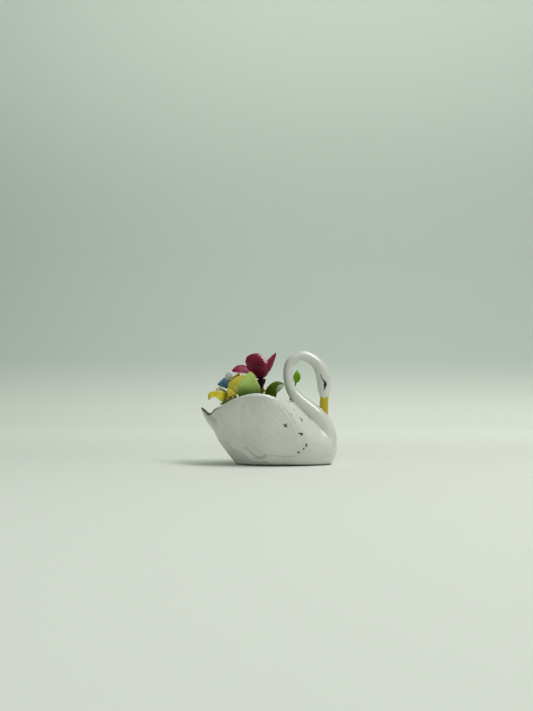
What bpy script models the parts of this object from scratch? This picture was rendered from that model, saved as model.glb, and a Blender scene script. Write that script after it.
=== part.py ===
"""Glazed bone-china swan whose open back holds a posy of hand-made flowers.

The swan faces +X, its left side is +Y, and +Z is up. The origin is the middle of the flat base.
Outlines and places are drawn in millimetres on the finished figure, and the three overall sizes
below stretch that drawing. Walls, petals, stems and seats keep their own sizes, in metres.
"""

import math

import bpy
import numpy as np

# Overall sizes, in metres
LENGTH = 0.076
WIDTH = 0.041
HEIGHT = 0.0635

# The same three sizes as the outlines below are drawn, in millimetres
DRAWN_LENGTH = 76.0
DRAWN_WIDTH = 41.0
DRAWN_HEIGHT = 63.5

# Walls, seats and thicknesses, in metres
WALL = 0.0026
FLOOR = 0.0035
TAIL_WALL = 0.0045
LIP_ROUND = 0.0005
WING_STEP = 0.0008
WING_LAP = 0.0019
FEATHER_DEPTH = 0.00045
SEAT_GAP = 0.0003
PETAL_THICKNESS = 0.0008
LEAF_THICKNESS = 0.0009
STEM_RADIUS = 0.00095
CALYX_RADIUS = 0.0016
CALYX_LENGTH = 0.0042
BUTTON_RADIUS = 0.0017

FEATHERS = 14

SCALE = np.array([LENGTH / DRAWN_LENGTH, WIDTH / DRAWN_WIDTH, HEIGHT / DRAWN_HEIGHT])

# The hull at each height: how far it reaches forward and back, where it is widest, and half its width
FRONT = [(0, 26.2), (1.2, 27.4), (4, 28.8), (9.0, 29.9), (12, 28.4), (15, 25.4), (20, 20.4), (25, 15.8),
         (30, 11.2), (35.7, 5.2), (40, 0.5)]
REAR = [(0, -26.0), (6.7, -31.4), (13.4, -36.3), (18.5, -38.8), (23.5, -42.4), (27, -44.4), (31.1, -45.9),
        (40, -49.5)]
WIDEST = [(0, -3.0), (20, -8.0), (40, -12.0)]
HALF_WIDTH = [(0, 12.2), (1.2, 13.6), (6, 16.8), (14, 19.3), (24, 20.3), (32, 20.5), (40, 20.2)]
FRONT_FULLNESS = 2.2
REAR_TAPER = 1.9
REAR_BLUNTNESS = 0.72

# The hollow back stops short of the solid breast that carries the neck
HOLLOW_FRONT = 11.0

# The open rim seen from the side, from the tail's tip to the foot of the neck
RIM = [(-45.8, 31.1), (-43.2, 29.6), (-41.2, 28.4), (-40.0, 28.5), (-38.4, 30.2), (-34.9, 31.9),
       (-26.4, 36.2), (-14.9, 38.8), (-9.8, 38.2), (-2.9, 36.2), (2.8, 35.4), (5.2, 35.2)]

# The raised wing from the side: its rim, its leading edge, its rear and lower edge, and its round wrist
WING_RIM = [(3.4, 35.0), (-2.9, 36.6), (-9.8, 38.6), (-14.9, 39.2), (-26.4, 36.6), (-34.9, 32.3),
            (-39.0, 29.9)]
WING_LEADING = [(3.4, 35.0), (6.0, 30.1), (10.4, 23.8), (14.2, 16.5), (15.9, 11.2)]
WING_LOWER = [(-39.0, 29.9), (-37.5, 24.8), (-35.2, 20.0), (-30.1, 16.2), (-23.7, 12.9), (-15.9, 9.5),
              (-10.9, 6.8), (-4.7, 5.3), (3.1, 4.8), (10.1, 6.1), (14.3, 8.5)]
WING_WRIST = [(15.9, 11.2), (15.6, 9.7), (14.3, 8.5)]

# The tucked lower feather tips under the wing, as a low ridge: place and half width
UNDER_FOLD = [(-29.0, 11.0, 0.5), (-25.2, 8.6, 1.9), (-20.2, 5.2, 2.3), (-15.2, 3.0, 1.5), (-11.2, 3.6, 1.2),
              (-8.4, 3.4, 0.5)]

# The neck and head as a swept round: forward, up, half its depth and half its width
NECK = [(21.0, 5.0, 6.2, 7.6), (24.2, 11.5, 5.6, 6.4), (24.9, 16.8, 4.7, 5.3), (20.0, 25.9, 4.8, 4.9),
        (14.9, 31.4, 3.95, 4.3), (9.2, 36.1, 3.5, 3.7), (4.9, 41.2, 3.0, 3.1), (2.95, 46.4, 2.6, 2.8),
        (2.6, 51.2, 2.55, 2.7), (4.5, 57.0, 2.85, 2.8), (11.0, 60.5, 2.9, 2.9), (17.1, 58.1, 3.15, 3.1),
        (21.1, 53.2, 3.75, 3.4), (22.9, 47.2, 4.1, 3.5), (23.0, 42.0, 3.6, 3.2), (23.1, 38.8, 2.9, 2.7),
        (23.1, 37.6, 2.65, 2.45), (23.1, 37.1, 1.4, 1.3)]
BILL = [(23.1, 40.4, 1.2, 1.1), (23.1, 39.2, 2.2, 2.1), (23.1, 36.4, 2.35, 2.2), (22.9, 33.6, 2.45, 2.15),
        (23.7, 29.9, 1.6, 1.8), (24.6, 27.5, 0.7, 1.1)]

# The clay bed's top: its crown, and how fast it falls away fore and aft and to the sides
BED_CROWN = (-14.0, 35.0)
BED_FALL = (9.5 / 25.0**2, 3.0 / 18.0**2)

# Petal and leaf outlines: share of the length, share of the half width
ROUND_PETAL = [(0.0, 0.14), (0.25, 0.62), (0.6, 1.0), (0.85, 0.86), (1.0, 0.45)]
BROAD_PETAL = [(0.0, 0.14), (0.25, 0.62), (0.6, 1.0), (0.85, 0.95), (1.0, 0.62)]
CURLING_PETAL = [(0.0, 0.35), (0.3, 1.0), (0.6, 0.62), (0.85, 0.48), (1.0, 0.2)]
FAN_PETAL = [(0.0, 0.5), (0.35, 1.0), (0.65, 0.8), (1.0, 0.16)]
BLADE_PETAL = [(0.0, 0.22), (0.3, 0.85), (0.5, 1.0), (0.8, 0.62), (1.0, 0.12)]
LEAF = [(0.0, 0.22), (0.25, 0.88), (0.42, 1.0), (0.75, 0.62), (1.0, 0.1)]
BROAD_LEAF = [(0.0, 0.25), (0.3, 0.98), (0.42, 0.97), (0.72, 0.64), (0.9, 0.36), (1.0, 0.1)]
ARCHING_LEAF = [(0.0, 0.3), (0.3, 0.95), (0.55, 1.0), (0.8, 0.82), (1.0, 0.5)]
SLENDER_LEAF = [(0.0, 0.32), (0.4, 0.3), (0.56, 0.42), (0.8, 1.0), (1.0, 0.14)]

GLAZE = (0.80, 0.82, 0.76, 1.0)
MAGENTA = (0.28, 0.012, 0.085, 1.0)
PURPLE = (0.07, 0.012, 0.05, 1.0)
YELLOW = (0.68, 0.47, 0.035, 1.0)
OCHRE = (0.42, 0.20, 0.03, 1.0)
BLUE = (0.05, 0.14, 0.36, 1.0)
PALE = (0.66, 0.52, 0.48, 1.0)
PINK = (0.60, 0.20, 0.26, 1.0)
LIGHT_GREEN = (0.28, 0.50, 0.20, 1.0)
DARK_GREEN = (0.05, 0.10, 0.015, 1.0)
LIME = (0.16, 0.42, 0.012, 1.0)
STEM_GREEN = (0.34, 0.42, 0.03, 1.0)
CLAY = (0.42, 0.47, 0.30, 1.0)


def place(x, y, z):
    """A drawn place in metres."""
    return np.array([x, y, z]) * SCALE


def unit(vector):
    return np.asarray(vector, float) / np.linalg.norm(vector)


def smooth(knots, at):
    """A smooth curve through (key, value, ...) knots, read at the given keys."""
    knots = np.asarray(knots, float)
    keys = knots[:, 0]
    values = knots[:, 1:]
    steps = np.diff(keys)[:, None]
    slopes = np.diff(values, axis=0) / steps
    tangents = np.vstack([slopes[:1], (slopes[1:] * steps[:-1] + slopes[:-1] * steps[1:])
                          / (steps[1:] + steps[:-1]), slopes[-1:]])
    at = np.asarray(at, float)
    cell = np.clip(np.searchsorted(keys, at) - 1, 0, len(keys) - 2)
    width = np.diff(keys)[cell]
    share = (np.clip(at, keys[0], keys[-1]) - keys[cell]) / width
    share = share[..., None]
    width = width[..., None]
    return (values[cell] * (1 + 2 * share) * (1 - share) ** 2
            + tangents[cell] * width * share * (1 - share) ** 2
            + values[cell + 1] * share**2 * (3 - 2 * share)
            + tangents[cell + 1] * width * share**2 * (share - 1))


def along(points, shares):
    """Places at shares 0 to 1 of a smooth line through points, by chord length."""
    points = np.asarray(points, float)
    chords = np.linalg.norm(np.diff(points, axis=0), axis=1)
    keys = np.concatenate([[0.0], np.cumsum(chords)]) / chords.sum()
    return smooth(np.column_stack([keys, points]), shares)


def profile(knots, across):
    """A function of height in metres, from a drawn table of (height, size)."""
    table = [(height * SCALE[2], size * across) for height, size in knots]
    return lambda z: smooth(table, z)[..., 0]


front_at = profile(FRONT, SCALE[0])
rear_at = profile(REAR, SCALE[0])
widest_at = profile(WIDEST, SCALE[0])
half_width_at = profile(HALF_WIDTH, SCALE[1])


def rim_at(x):
    table = [(forward * SCALE[0], height * SCALE[2]) for forward, height in RIM]
    return smooth(table, x)[..., 0]


def steepness(curve, z):
    """How much longer a wall's level thickness is than its true one, where the wall slopes."""
    step = 1e-4
    slope = (curve(z + step) - curve(z - step)) / (2 * step)
    return np.minimum(np.sqrt(1 + slope**2), 1.9)


def fullness(reach):
    """Half width as a share of the widest, from -1 at the tail to 1 at the breast."""
    reach = np.clip(reach, -1, 1)
    forward = np.sqrt(1 - np.abs(reach) ** FRONT_FULLNESS)
    aft = (1 - np.abs(reach) ** REAR_TAPER) ** REAR_BLUNTNESS
    return np.where(reach > 0, forward, aft)


def outline(angle, z, inset=0.0):
    """The hull's outline at height z, moved in by a wall. Angle 0 is the breast and pi the tail."""
    tail_inset = inset * TAIL_WALL / WALL
    front = front_at(z) - inset * steepness(front_at, z)
    front = np.minimum(front, HOLLOW_FRONT * SCALE[0] - (inset - WALL)) if inset > 0 else front
    rear = rear_at(z) + tail_inset
    half = half_width_at(z) - inset * steepness(half_width_at, z)
    reach = np.cos(angle)
    middle = widest_at(z)
    x = middle + np.where(reach > 0, front - middle, middle - rear) * reach
    y = np.sign(np.sin(angle)) * half * fullness(reach)
    return x, y


def side_at(x, z):
    """The hull's half width at a place in the side view."""
    middle = widest_at(z)
    reach = np.where(x > middle, (x - middle) / (front_at(z) - middle), (x - middle) / (middle - rear_at(z)))
    return half_width_at(z) * fullness(np.clip(reach, -0.995, 0.995))


def side_normal(x, z):
    """The hull's outward direction there, on the +Y side."""
    step = 2e-4
    normal = np.stack([-(side_at(x + step, z) - side_at(x - step, z)) / (2 * step), np.ones_like(x),
                       -(side_at(x, z + step) - side_at(x, z - step)) / (2 * step)], axis=-1)
    return normal / np.linalg.norm(normal, axis=-1, keepdims=True)


def meet(angle, inset, height_of):
    """The height at which the hull's outline meets a surface given by height_of(x, y)."""
    z = np.full_like(angle, 30 * SCALE[2])
    for _ in range(40):
        x, y = outline(angle, z, inset)
        z = 0.5 * z + 0.5 * height_of(x, y)
    return z


def bed_top(x, y):
    """The clay bed's surface, in metres."""
    away = (np.asarray(x) / SCALE[0] - BED_CROWN[0]) ** 2
    aside = (np.asarray(y) / SCALE[1]) ** 2
    return (BED_CROWN[1] - BED_FALL[0] * away - BED_FALL[1] * aside) * SCALE[2]


def on_bed(x, y):
    """A place just clear of the clay bed, at a drawn spot in plan."""
    spot = place(x, y, 0)
    return np.array([spot[0], spot[1], bed_top(spot[0], spot[1]) + SEAT_GAP])


def material(name, colour, roughness=0.18):
    made = bpy.data.materials.new(name)
    made.use_nodes = True
    shader = made.node_tree.nodes["Principled BSDF"]
    shader.inputs["Base Color"].default_value = colour
    shader.inputs["Roughness"].default_value = roughness
    shader.inputs["Metallic"].default_value = 0.0
    made.diffuse_color = colour
    return made


def add(name, points, faces, colour, helper=False):
    """A closed mesh object in the scene. A helper is only there to be joined to another."""
    mesh = bpy.data.meshes.new(name)
    mesh.from_pydata([tuple(point) for point in points], [], faces)
    mesh.validate()
    mesh.shade_smooth()
    mesh.materials.append(material(name, colour))
    made = bpy.data.objects.new(name, mesh)
    bpy.context.scene.collection.objects.link(made)
    if helper:
        made.hide_render = True
        made.display_type = "WIRE"
    return made


def skin(rings):
    """Points and faces of a closed solid through rings of equal count, with both ends capped."""
    rings = np.asarray(rings)
    count, around = rings.shape[:2]
    faces = [tuple(reversed(range(around)))]
    for i in range(count - 1):
        for j in range(around):
            k = (j + 1) % around
            faces.append((i * around + j, i * around + k, (i + 1) * around + k, (i + 1) * around + j))
    faces.append(tuple((count - 1) * around + j for j in range(around)))
    return rings.reshape(-1, 3), faces


def slab(upper, lower):
    """Points and faces of a closed sheet between two grids of the same size, upper on the outer side."""
    rows, columns = upper.shape[:2]
    size = rows * columns
    faces = []
    for i in range(rows - 1):
        for j in range(columns - 1):
            a = i * columns + j
            faces.append((a, a + 1, a + columns + 1, a + columns))
            faces.append((size + a, size + a + columns, size + a + columns + 1, size + a + 1))
    border = [(0, j) for j in range(columns - 1)] + [(i, columns - 1) for i in range(rows - 1)]
    border += [(rows - 1, j) for j in range(columns - 1, 0, -1)] + [(i, 0) for i in range(rows - 1, 0, -1)]
    loop = [i * columns + j for i, j in border]
    for a, b in zip(loop, loop[1:] + loop[:1]):
        faces.append((b, a, size + a, size + b))
    return np.concatenate([upper.reshape(-1, 3), lower.reshape(-1, 3)]), faces


def grid_normals(grid):
    down = np.gradient(grid, axis=0)
    over = np.gradient(grid, axis=1)
    normal = np.cross(over, down)
    return normal / np.linalg.norm(normal, axis=-1, keepdims=True)


# The hull: a cast shell of even wall, open at the back


def hull():
    around = 56
    angle = np.arange(around) * 2 * math.pi / around
    outer_rim = meet(angle, 0.0, lambda x, y: rim_at(x))
    inner_rim = meet(angle, WALL, lambda x, y: rim_at(x))
    floor = np.full(around, FLOOR)
    rings = []
    for share in (0.0, 0.03, 0.12, 0.24, 0.36, 0.48, 0.6, 0.72, 0.83, 0.92):
        z = outer_rim * share
        rings.append(np.column_stack([*outline(angle, z), z]))
    for inset, drop in ((0.0, LIP_ROUND), (0.28 * WALL, 0.0), (0.72 * WALL, 0.0), (WALL, LIP_ROUND)):
        rim = meet(angle, inset, lambda x, y: rim_at(x)) - drop
        rings.append(np.column_stack([*outline(angle, rim, inset), rim]))
    for share in (0.86, 0.72, 0.5, 0.25, 0.1, 0.0):
        z = floor + (inner_rim - LIP_ROUND - floor) * share
        rings.append(np.column_stack([*outline(angle, z, WALL), z]))
    return skin(rings)


# The raised wings, with their long feathers fanning from the rim to the wrist


def wing_side_view(s, t):
    """Drawn place in the side view: s goes from rim to wrist, t from the leading to the lower edge."""
    lead = along(WING_LEADING, s)
    low = along(WING_LOWER, s)
    rim = along(WING_RIM, t)
    wrist = along(WING_WRIST, t)
    s = s[..., None]
    t = t[..., None]
    corners = ((1 - s) * (1 - t) * np.array(WING_RIM[0]) + (1 - s) * t * np.array(WING_RIM[-1])
               + s * (1 - t) * np.array(WING_WRIST[0]) + s * t * np.array(WING_WRIST[-1]))
    return (1 - t) * lead + t * low + (1 - s) * rim + s * wrist - corners


def feather_relief(s, t):
    """Height of the feathers as a share of their depth: each rises softly and ends in a step."""
    within = (t * FEATHERS) % 1.0
    shingle = np.clip(within / 0.35, 0, 1) * (1 - 0.45 * np.clip((within - 0.35) / 0.65, 0, 1))
    reach = 0.62 + 0.38 * t
    fade = np.clip(s / 0.025, 0, 1) * np.clip((reach - s) / 0.3, 0, 1)
    return shingle * fade


def wing(side):
    rows = 9
    shares = [0.0, 0.34, 0.74]
    t = np.array([(k + share) / FEATHERS for k in range(FEATHERS) for share in shares] + [1.0])
    s = np.concatenate([[0.0, 0.025], np.linspace(0.13, 1.0, rows)])
    s, t = np.meshgrid(s, t, indexing="ij")
    view = wing_side_view(s, t)
    x = view[..., 0] * SCALE[0]
    z = view[..., 1] * SCALE[2]
    normal = side_normal(x, z)
    seat = np.stack([x, side_at(x, z), z], axis=-1)
    edge = np.minimum.reduce([t * 22, (1 - t) * 22, (1 - s) * 12])
    step = WING_STEP * np.clip(0.3 + edge, 0, 1)
    step[0] *= 0.2
    outer = seat + normal * (step + FEATHER_DEPTH * feather_relief(s, t))[..., None]
    back = seat - normal * WING_LAP
    flip = np.array([1.0, side, 1.0])
    points, faces = slab(outer * flip, back * flip)
    if side > 0:
        faces = [tuple(reversed(face)) for face in faces]
    return points, faces


def under_fold(side):
    """The tucked feather tips under the wing's lower edge, as a low rounded ridge sunk in the hull."""
    shares = np.linspace(0, 1, 9)
    line = along(UNDER_FOLD, shares)
    x = line[:, 0] * SCALE[0]
    z = line[:, 1] * SCALE[2]
    half = np.maximum(line[:, 2], 0.3) * SCALE[2]
    seat = np.column_stack([x, side_at(x, z), z])
    normal = side_normal(x, z)
    forward = np.gradient(seat, axis=0)
    forward /= np.linalg.norm(forward, axis=1, keepdims=True)
    up = np.cross(forward, normal)
    rings = []
    for angle in np.arange(8) * math.pi / 4:
        out = math.cos(angle) * 0.55 + 0.1
        rings.append(seat + up * (half * math.sin(angle))[:, None] + normal * (half * out)[:, None])
    rings = np.stack(rings, axis=1) * np.array([1.0, side, 1.0])
    return skin(rings)


def sweep(stations, count, around):
    """A round swept along stations of forward, up, half depth and half width, in the swan's middle plane."""
    line = along(np.array(stations), np.linspace(0, 1, count))
    x = line[:, 0] * SCALE[0]
    z = line[:, 1] * SCALE[2]
    deep = line[:, 2] * SCALE[2]
    wide = line[:, 3] * SCALE[1]
    forward = np.gradient(np.column_stack([x, z]), axis=0)
    forward /= np.linalg.norm(forward, axis=1, keepdims=True)
    rings = []
    for angle in np.arange(around) * 2 * math.pi / around:
        reach = deep * math.cos(angle)
        rings.append(np.column_stack([x - forward[:, 1] * reach, wide * math.sin(angle),
                                      z + forward[:, 0] * reach]))
    return skin(np.stack(rings, axis=1))


def face_outward(made):
    """Turns a closed mesh so that its faces point out."""
    mesh = made.data
    points = np.array([vertex.co for vertex in mesh.vertices])
    volume = 0.0
    for polygon in mesh.polygons:
        corners = points[list(polygon.vertices)]
        for i in range(1, len(corners) - 1):
            volume += np.dot(corners[0], np.cross(corners[i], corners[i + 1]))
    if volume < 0:
        mesh.flip_normals()


def build_swan():
    body = add("swan_body", *hull(), GLAZE)
    face_outward(body)
    pieces = {
        "near_wing": wing(-1),
        "far_wing": wing(1),
        "near_fold": under_fold(-1),
        "far_fold": under_fold(1),
        "neck": sweep(NECK, 44, 16),
        "bill": sweep(BILL, 10, 12),
    }
    for name, (points, faces) in pieces.items():
        joined = add(name, points, faces, GLAZE, helper=True)
        face_outward(joined)
        union = body.modifiers.new(name, "BOOLEAN")
        union.operation = "UNION"
        union.solver = "EXACT"
        union.object = joined


# The clay bed pressed into the open back


def build_bed():
    around = 26
    angle = np.arange(around) * 2 * math.pi / around
    inset = WALL + SEAT_GAP
    edge = meet(angle, inset, bed_top)
    foot = np.full(around, FLOOR + SEAT_GAP)
    rings = []
    for share in (0.0, 0.15, 0.45, 0.8, 1.0):
        z = foot + (edge - foot) * share
        rings.append(np.column_stack([*outline(angle, z, inset), z]))
    rim_x, rim_y = outline(angle, edge, inset)
    crown = BED_CROWN[0] * SCALE[0]
    for share in (0.72, 0.42, 0.14):
        x = crown + (rim_x - crown) * share
        y = rim_y * share
        rings.append(np.column_stack([x, y, bed_top(x, y)]))
    face_outward(add("posy_bed", *skin(rings), CLAY))


# Petals and leaves: thin curved sheets, pressed by hand


def sheet(name, line, across, half_width, colour, cup=0.0, shape=ROUND_PETAL, rows=6, columns=4,
          thickness=PETAL_THICKNESS, teeth=0, tooth_depth=0.0):
    """A petal or leaf on a midrib line in metres. Across points to its right, and cup lifts its edges."""
    shares = np.linspace(0, 1, rows + 1)
    rib = along(line, shares)
    forward = np.gradient(rib, axis=0)
    forward /= np.linalg.norm(forward, axis=1, keepdims=True)
    right = np.asarray(across, float) - (forward @ np.asarray(across, float))[:, None] * forward
    right /= np.linalg.norm(right, axis=1, keepdims=True)
    lift = np.cross(right, forward)
    half = smooth(shape, shares)[:, 0] * half_width
    if teeth:
        half = half * (1 - tooth_depth * ((shares * teeth) % 1.0) * (shares < 0.99))
    over = np.linspace(-1, 1, columns + 1)
    grid = (rib[:, None] + right[:, None] * (half[:, None] * over)[..., None]
            + lift[:, None] * (cup * half[:, None] * over**2)[..., None])
    normal = grid_normals(grid)
    upper = grid - normal * thickness / 2
    lower = grid + normal * thickness / 2
    face_outward(add(name, *slab(upper, lower), colour))


def turned(name, foot, direction, stations, colour, around=8):
    """A small turned piece from its foot along a direction, with stations of length and radius in metres."""
    direction = unit(direction)
    side = unit(np.cross(direction, (0.3, 1.0, 0.2)))
    other = np.cross(direction, side)
    rings = []
    for length, radius in stations:
        angle = np.arange(around) * 2 * math.pi / around
        rings.append(foot + direction * length
                     + radius * (np.cos(angle)[:, None] * side + np.sin(angle)[:, None] * other))
    face_outward(add(name, *skin(rings), colour))


def stalk(name, foot, top, colour, radius=STEM_RADIUS):
    reach = top - foot
    length = np.linalg.norm(reach)
    turned(name, foot, reach, [(0.0, radius * 1.15), (length * 0.3, radius), (length, radius * 0.9)], colour)


def flower(name, centre, petals, colour, half_base):
    """Petals around a centre, each as the places on its midrib, across, half width, cup and shape."""
    for number, (line, across, half_width, cup, shape) in enumerate(petals, 1):
        places = [place(*spot) for spot in line]
        out = unit(places[0] - centre)
        base = centre + out * (half_base + SEAT_GAP)
        sheet(f"{name}_petal_{number}", [base, *places], across, half_width * SCALE[2], colour, cup, shape)


def button_flower(name, foot, centre, petals, petal_colour, colour):
    """A flower whose centre is a button on a short stalk from the clay bed."""
    reach = np.linalg.norm(centre - foot)
    direction = unit(centre - foot)
    turned(f"{name}_centre", foot, direction,
           [(0.0, STEM_RADIUS * 1.2), (reach - BUTTON_RADIUS * 1.1, STEM_RADIUS),
            (reach - BUTTON_RADIUS * 0.3, BUTTON_RADIUS), (reach + BUTTON_RADIUS * 0.5, BUTTON_RADIUS * 0.9),
            (reach + BUTTON_RADIUS * 0.9, BUTTON_RADIUS * 0.35)], colour, around=10)
    flower(name, centre, petals, petal_colour, BUTTON_RADIUS)


def build_magenta_flower():
    calyx_top = place(-12.2, -2.0, 47.0)
    axis = unit((-0.12, 0.1, 1.0))
    foot = on_bed(-11.6, -1.8)
    calyx_foot = calyx_top - axis * CALYX_LENGTH
    stalk("magenta_stem", foot, calyx_foot - axis * SEAT_GAP, STEM_GREEN)
    turned("magenta_calyx", calyx_foot, axis,
           [(0.0, STEM_RADIUS), (CALYX_LENGTH * 0.45, CALYX_RADIUS * 0.85), (CALYX_LENGTH, CALYX_RADIUS),
            (CALYX_LENGTH * 1.2, CALYX_RADIUS * 0.6)], PURPLE, around=10)
    centre_foot = calyx_top + axis * (CALYX_LENGTH * 0.2 + SEAT_GAP)
    turned("magenta_centre", centre_foot, axis,
           [(0.0, CALYX_RADIUS * 0.5), (CALYX_RADIUS, CALYX_RADIUS * 0.8),
            (CALYX_RADIUS * 1.8, CALYX_RADIUS * 0.45)], OCHRE)
    petals = [
        ([(-13.2, -5.4, 49.8), (-15.3, -8.4, 55.6), (-14.8, -7.4, 61.0)],
         (1.0, -0.1, -0.28), 6.2, -0.16, BROAD_PETAL),
        ([(-15.2, -1.8, 49.2), (-19.6, -2.6, 52.4), (-24.2, -3.0, 53.6), (-28.4, -2.8, 52.6)],
         (0.0, -0.75, -0.66), 2.5, -0.2, ROUND_PETAL),
        ([(-10.6, -3.0, 49.8), (-7.2, -2.2, 55.0), (-5.4, -1.6, 59.0), (-4.1, -1.2, 62.3)],
         (-0.5, -0.9, 0.25), 3.7, 0.24, BLADE_PETAL),
        ([(-14.9, 1.6, 50.0), (-16.9, 5.6, 53.8), (-18.3, 10.2, 56.6)],
         (-1.0, 0.0, -0.1), 4.0, 0.22, ROUND_PETAL),
        ([(-10.8, 2.2, 49.8), (-10.4, 5.8, 52.6), (-10.8, 10.2, 55.2)],
         (-1.0, 0.1, 0.1), 2.3, 0.22, ROUND_PETAL),
    ]
    flower("magenta", calyx_top, petals, MAGENTA, CALYX_RADIUS)


def build_yellow_flower():
    foot = on_bed(-28.6, -1.0)
    centre = place(-29.6, -1.6, 39.6)
    petals = [
        ([(-33.6, -5.4, 38.0), (-37.0, -6.8, 39.1), (-40.0, -7.0, 38.6), (-41.3, -6.8, 36.3)],
         (0.0, -0.3, -0.95), 2.9, -0.1, CURLING_PETAL),
        ([(-28.4, -4.6, 41.2), (-25.4, -6.4, 45.2), (-21.6, -6.0, 50.0)],
         (0.75, -0.2, -0.6), 2.4, 0.1, ROUND_PETAL),
        ([(-28.6, 0.8, 43.0), (-26.7, 1.8, 46.6), (-24.5, 2.4, 50.9)],
         (1.0, 0.2, -0.3), 2.9, 0.15, FAN_PETAL),
        ([(-32.6, 1.4, 39.8), (-35.6, 3.2, 39.8), (-38.6, 4.6, 38.8)],
         (0.0, -1.0, 0.1), 2.9, 0.15, ROUND_PETAL),
        ([(-29.4, -5.0, 39.0), (-28.8, -7.4, 38.4), (-28.4, -9.2, 37.0)],
         (1.0, 0.1, 0.2), 2.9, -0.1, ROUND_PETAL),
    ]
    button_flower("yellow", foot, centre, petals, YELLOW, OCHRE)


def build_blue_flower():
    foot = on_bed(-25.6, 6.4)
    centre = place(-29.4, 7.0, 45.4)
    petals = [
        ([(-31.8, 4.6, 44.8), (-34.2, 3.8, 44.6), (-36.7, 3.6, 44.8)],
         (0.1, -0.3, -0.95), 2.7, 0.1, FAN_PETAL),
        ([(-29.4, 5.6, 47.6), (-28.8, 5.5, 49.0), (-27.7, 5.8, 50.5)],
         (1.0, -0.1, 0.2), 2.9, 0.15, ROUND_PETAL),
        ([(-31.4, 9.6, 46.4), (-32.8, 12.0, 47.0), (-33.8, 14.6, 46.8)],
         (-0.8, -0.6, 0.0), 3.2, 0.2, ROUND_PETAL),
        ([(-27.6, 9.4, 46.4), (-26.4, 11.8, 47.2), (-25.6, 14.6, 47.0)],
         (-0.9, 0.4, 0.0), 3.2, 0.2, ROUND_PETAL),
        ([(-26.6, 6.8, 46.2), (-24.4, 6.6, 47.0), (-22.0, 6.6, 47.0)],
         (0.0, 1.0, 0.0), 2.4, 0.2, ROUND_PETAL),
    ]
    button_flower("blue", foot, centre, petals, BLUE, OCHRE)


def build_pale_flower():
    foot = on_bed(-29.4, 10.0)
    centre = place(-31.0, 10.6, 39.4)
    petals = [
        ([(-33.0, 8.4, 40.8), (-35.2, 6.6, 41.6), (-37.9, 5.4, 41.9)],
         (0.25, -0.45, -0.85), 1.6, 0.1, ROUND_PETAL),
        ([(-34.0, 11.6, 40.2), (-36.6, 12.4, 40.4), (-38.8, 12.8, 39.6)],
         (0.2, -1.0, 0.0), 2.7, 0.2, ROUND_PETAL),
        ([(-31.2, 13.4, 39.8), (-31.4, 15.8, 40.0), (-31.6, 18.4, 39.2)],
         (-1.0, 0.0, 0.0), 2.9, 0.2, ROUND_PETAL),
        ([(-28.0, 12.2, 39.8), (-26.6, 13.6, 40.4), (-25.2, 15.4, 40.2)],
         (-0.7, 1.0, 0.0), 2.3, 0.2, ROUND_PETAL),
    ]
    button_flower("pale", foot, centre, petals, PALE, OCHRE)


def build_pink_flower():
    foot = on_bed(-16.6, 9.4)
    middle = np.array([-16.8, 11.2, 40.2])
    centre = place(*middle)
    petals = []
    for turn in range(5):
        angle = math.radians(72 * turn + 18)
        out = np.array([math.cos(angle), 0.85 * math.sin(angle), -0.3 * math.sin(angle)])
        across = np.array([-math.sin(angle), 0.85 * math.cos(angle), -0.3 * math.cos(angle)])
        near = middle + out * 3.6 + np.array([0.0, 0.7, 1.3])
        tip = middle + out * 7.2 + np.array([0.0, 0.9, 1.5])
        petals.append(([near, tip], across, 2.7, 0.2, ROUND_PETAL))
    button_flower("pink", foot, centre, petals, PINK, OCHRE)


def leaf(name, foot, line, across, half_width, colour, cup=0.1, rows=7, shape=LEAF, teeth=0, tooth_depth=0.0):
    places = [place(*spot) for spot in line]
    foot = foot + unit(places[0] - foot) * LEAF_THICKNESS * 0.5
    sheet(name, [foot, *places], across, half_width * SCALE[2], colour, cup, shape, rows=rows,
          thickness=LEAF_THICKNESS, teeth=teeth, tooth_depth=tooth_depth)


def build_leaves():
    leaf("light_leaf", on_bed(-18.6, -9.6), [(-18.8, -10.6, 40.0), (-18.5, -10.6, 46.0), (-17.9, -9.0, 51.6)],
         (1.0, 0.0, 0.0), 6.7, LIGHT_GREEN, cup=0.12, rows=13, shape=BROAD_LEAF, teeth=6.5, tooth_depth=0.07)
    leaf("dark_leaf", on_bed(-7.2, -0.4),
         [(-7.2, -1.0, 38.2), (-5.6, -1.8, 41.4), (-2.6, -2.2, 43.6), (0.4, -2.0, 44.3)],
         (0.85, -0.3, -0.45), 3.0, DARK_GREEN, cup=-0.2, rows=9, shape=ARCHING_LEAF)
    rim_seat = place(4.0, 5.4, 0)
    rim_seat[2] = rim_at(rim_seat[0]) + SEAT_GAP
    leaf("lime_leaf", rim_seat, [(5.2, 6.4, 38.8), (6.3, 7.5, 42.6), (7.7, 8.6, 46.4), (8.2, 9.0, 52.5)],
         (0.95, 0.1, -0.2), 1.95, LIME, cup=0.15, rows=10, shape=SLENDER_LEAF)
    leaf("rim_leaf", on_bed(-24.2, -11.2), [(-26.4, -11.7, 35.8), (-30.6, -10.8, 35.4), (-34.8, -7.9, 33.6)],
         (0.1, -0.7, -0.7), 2.0, DARK_GREEN, cup=0.1)
    leaf("far_leaf_1", on_bed(-9.0, 9.4), [(-8.4, 12.6, 37.6), (-7.8, 15.2, 40.2), (-7.6, 17.4, 41.8)],
         (-1.0, 0.2, 0.1), 3.4, LIGHT_GREEN, cup=0.15)
    leaf("far_leaf_2", on_bed(-22.6, 10.0), [(-23.0, 12.0, 37.4), (-23.4, 14.6, 38.4), (-23.8, 17.4, 39.0)],
         (-1.0, -0.1, 0.1), 2.2, LIME, cup=0.15)


def clear_scene():
    for made in list(bpy.data.objects):
        bpy.data.objects.remove(made, do_unlink=True)


clear_scene()
build_swan()
build_bed()
build_magenta_flower()
build_yellow_flower()
build_blue_flower()
build_pale_flower()
build_pink_flower()
build_leaves()
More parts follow.
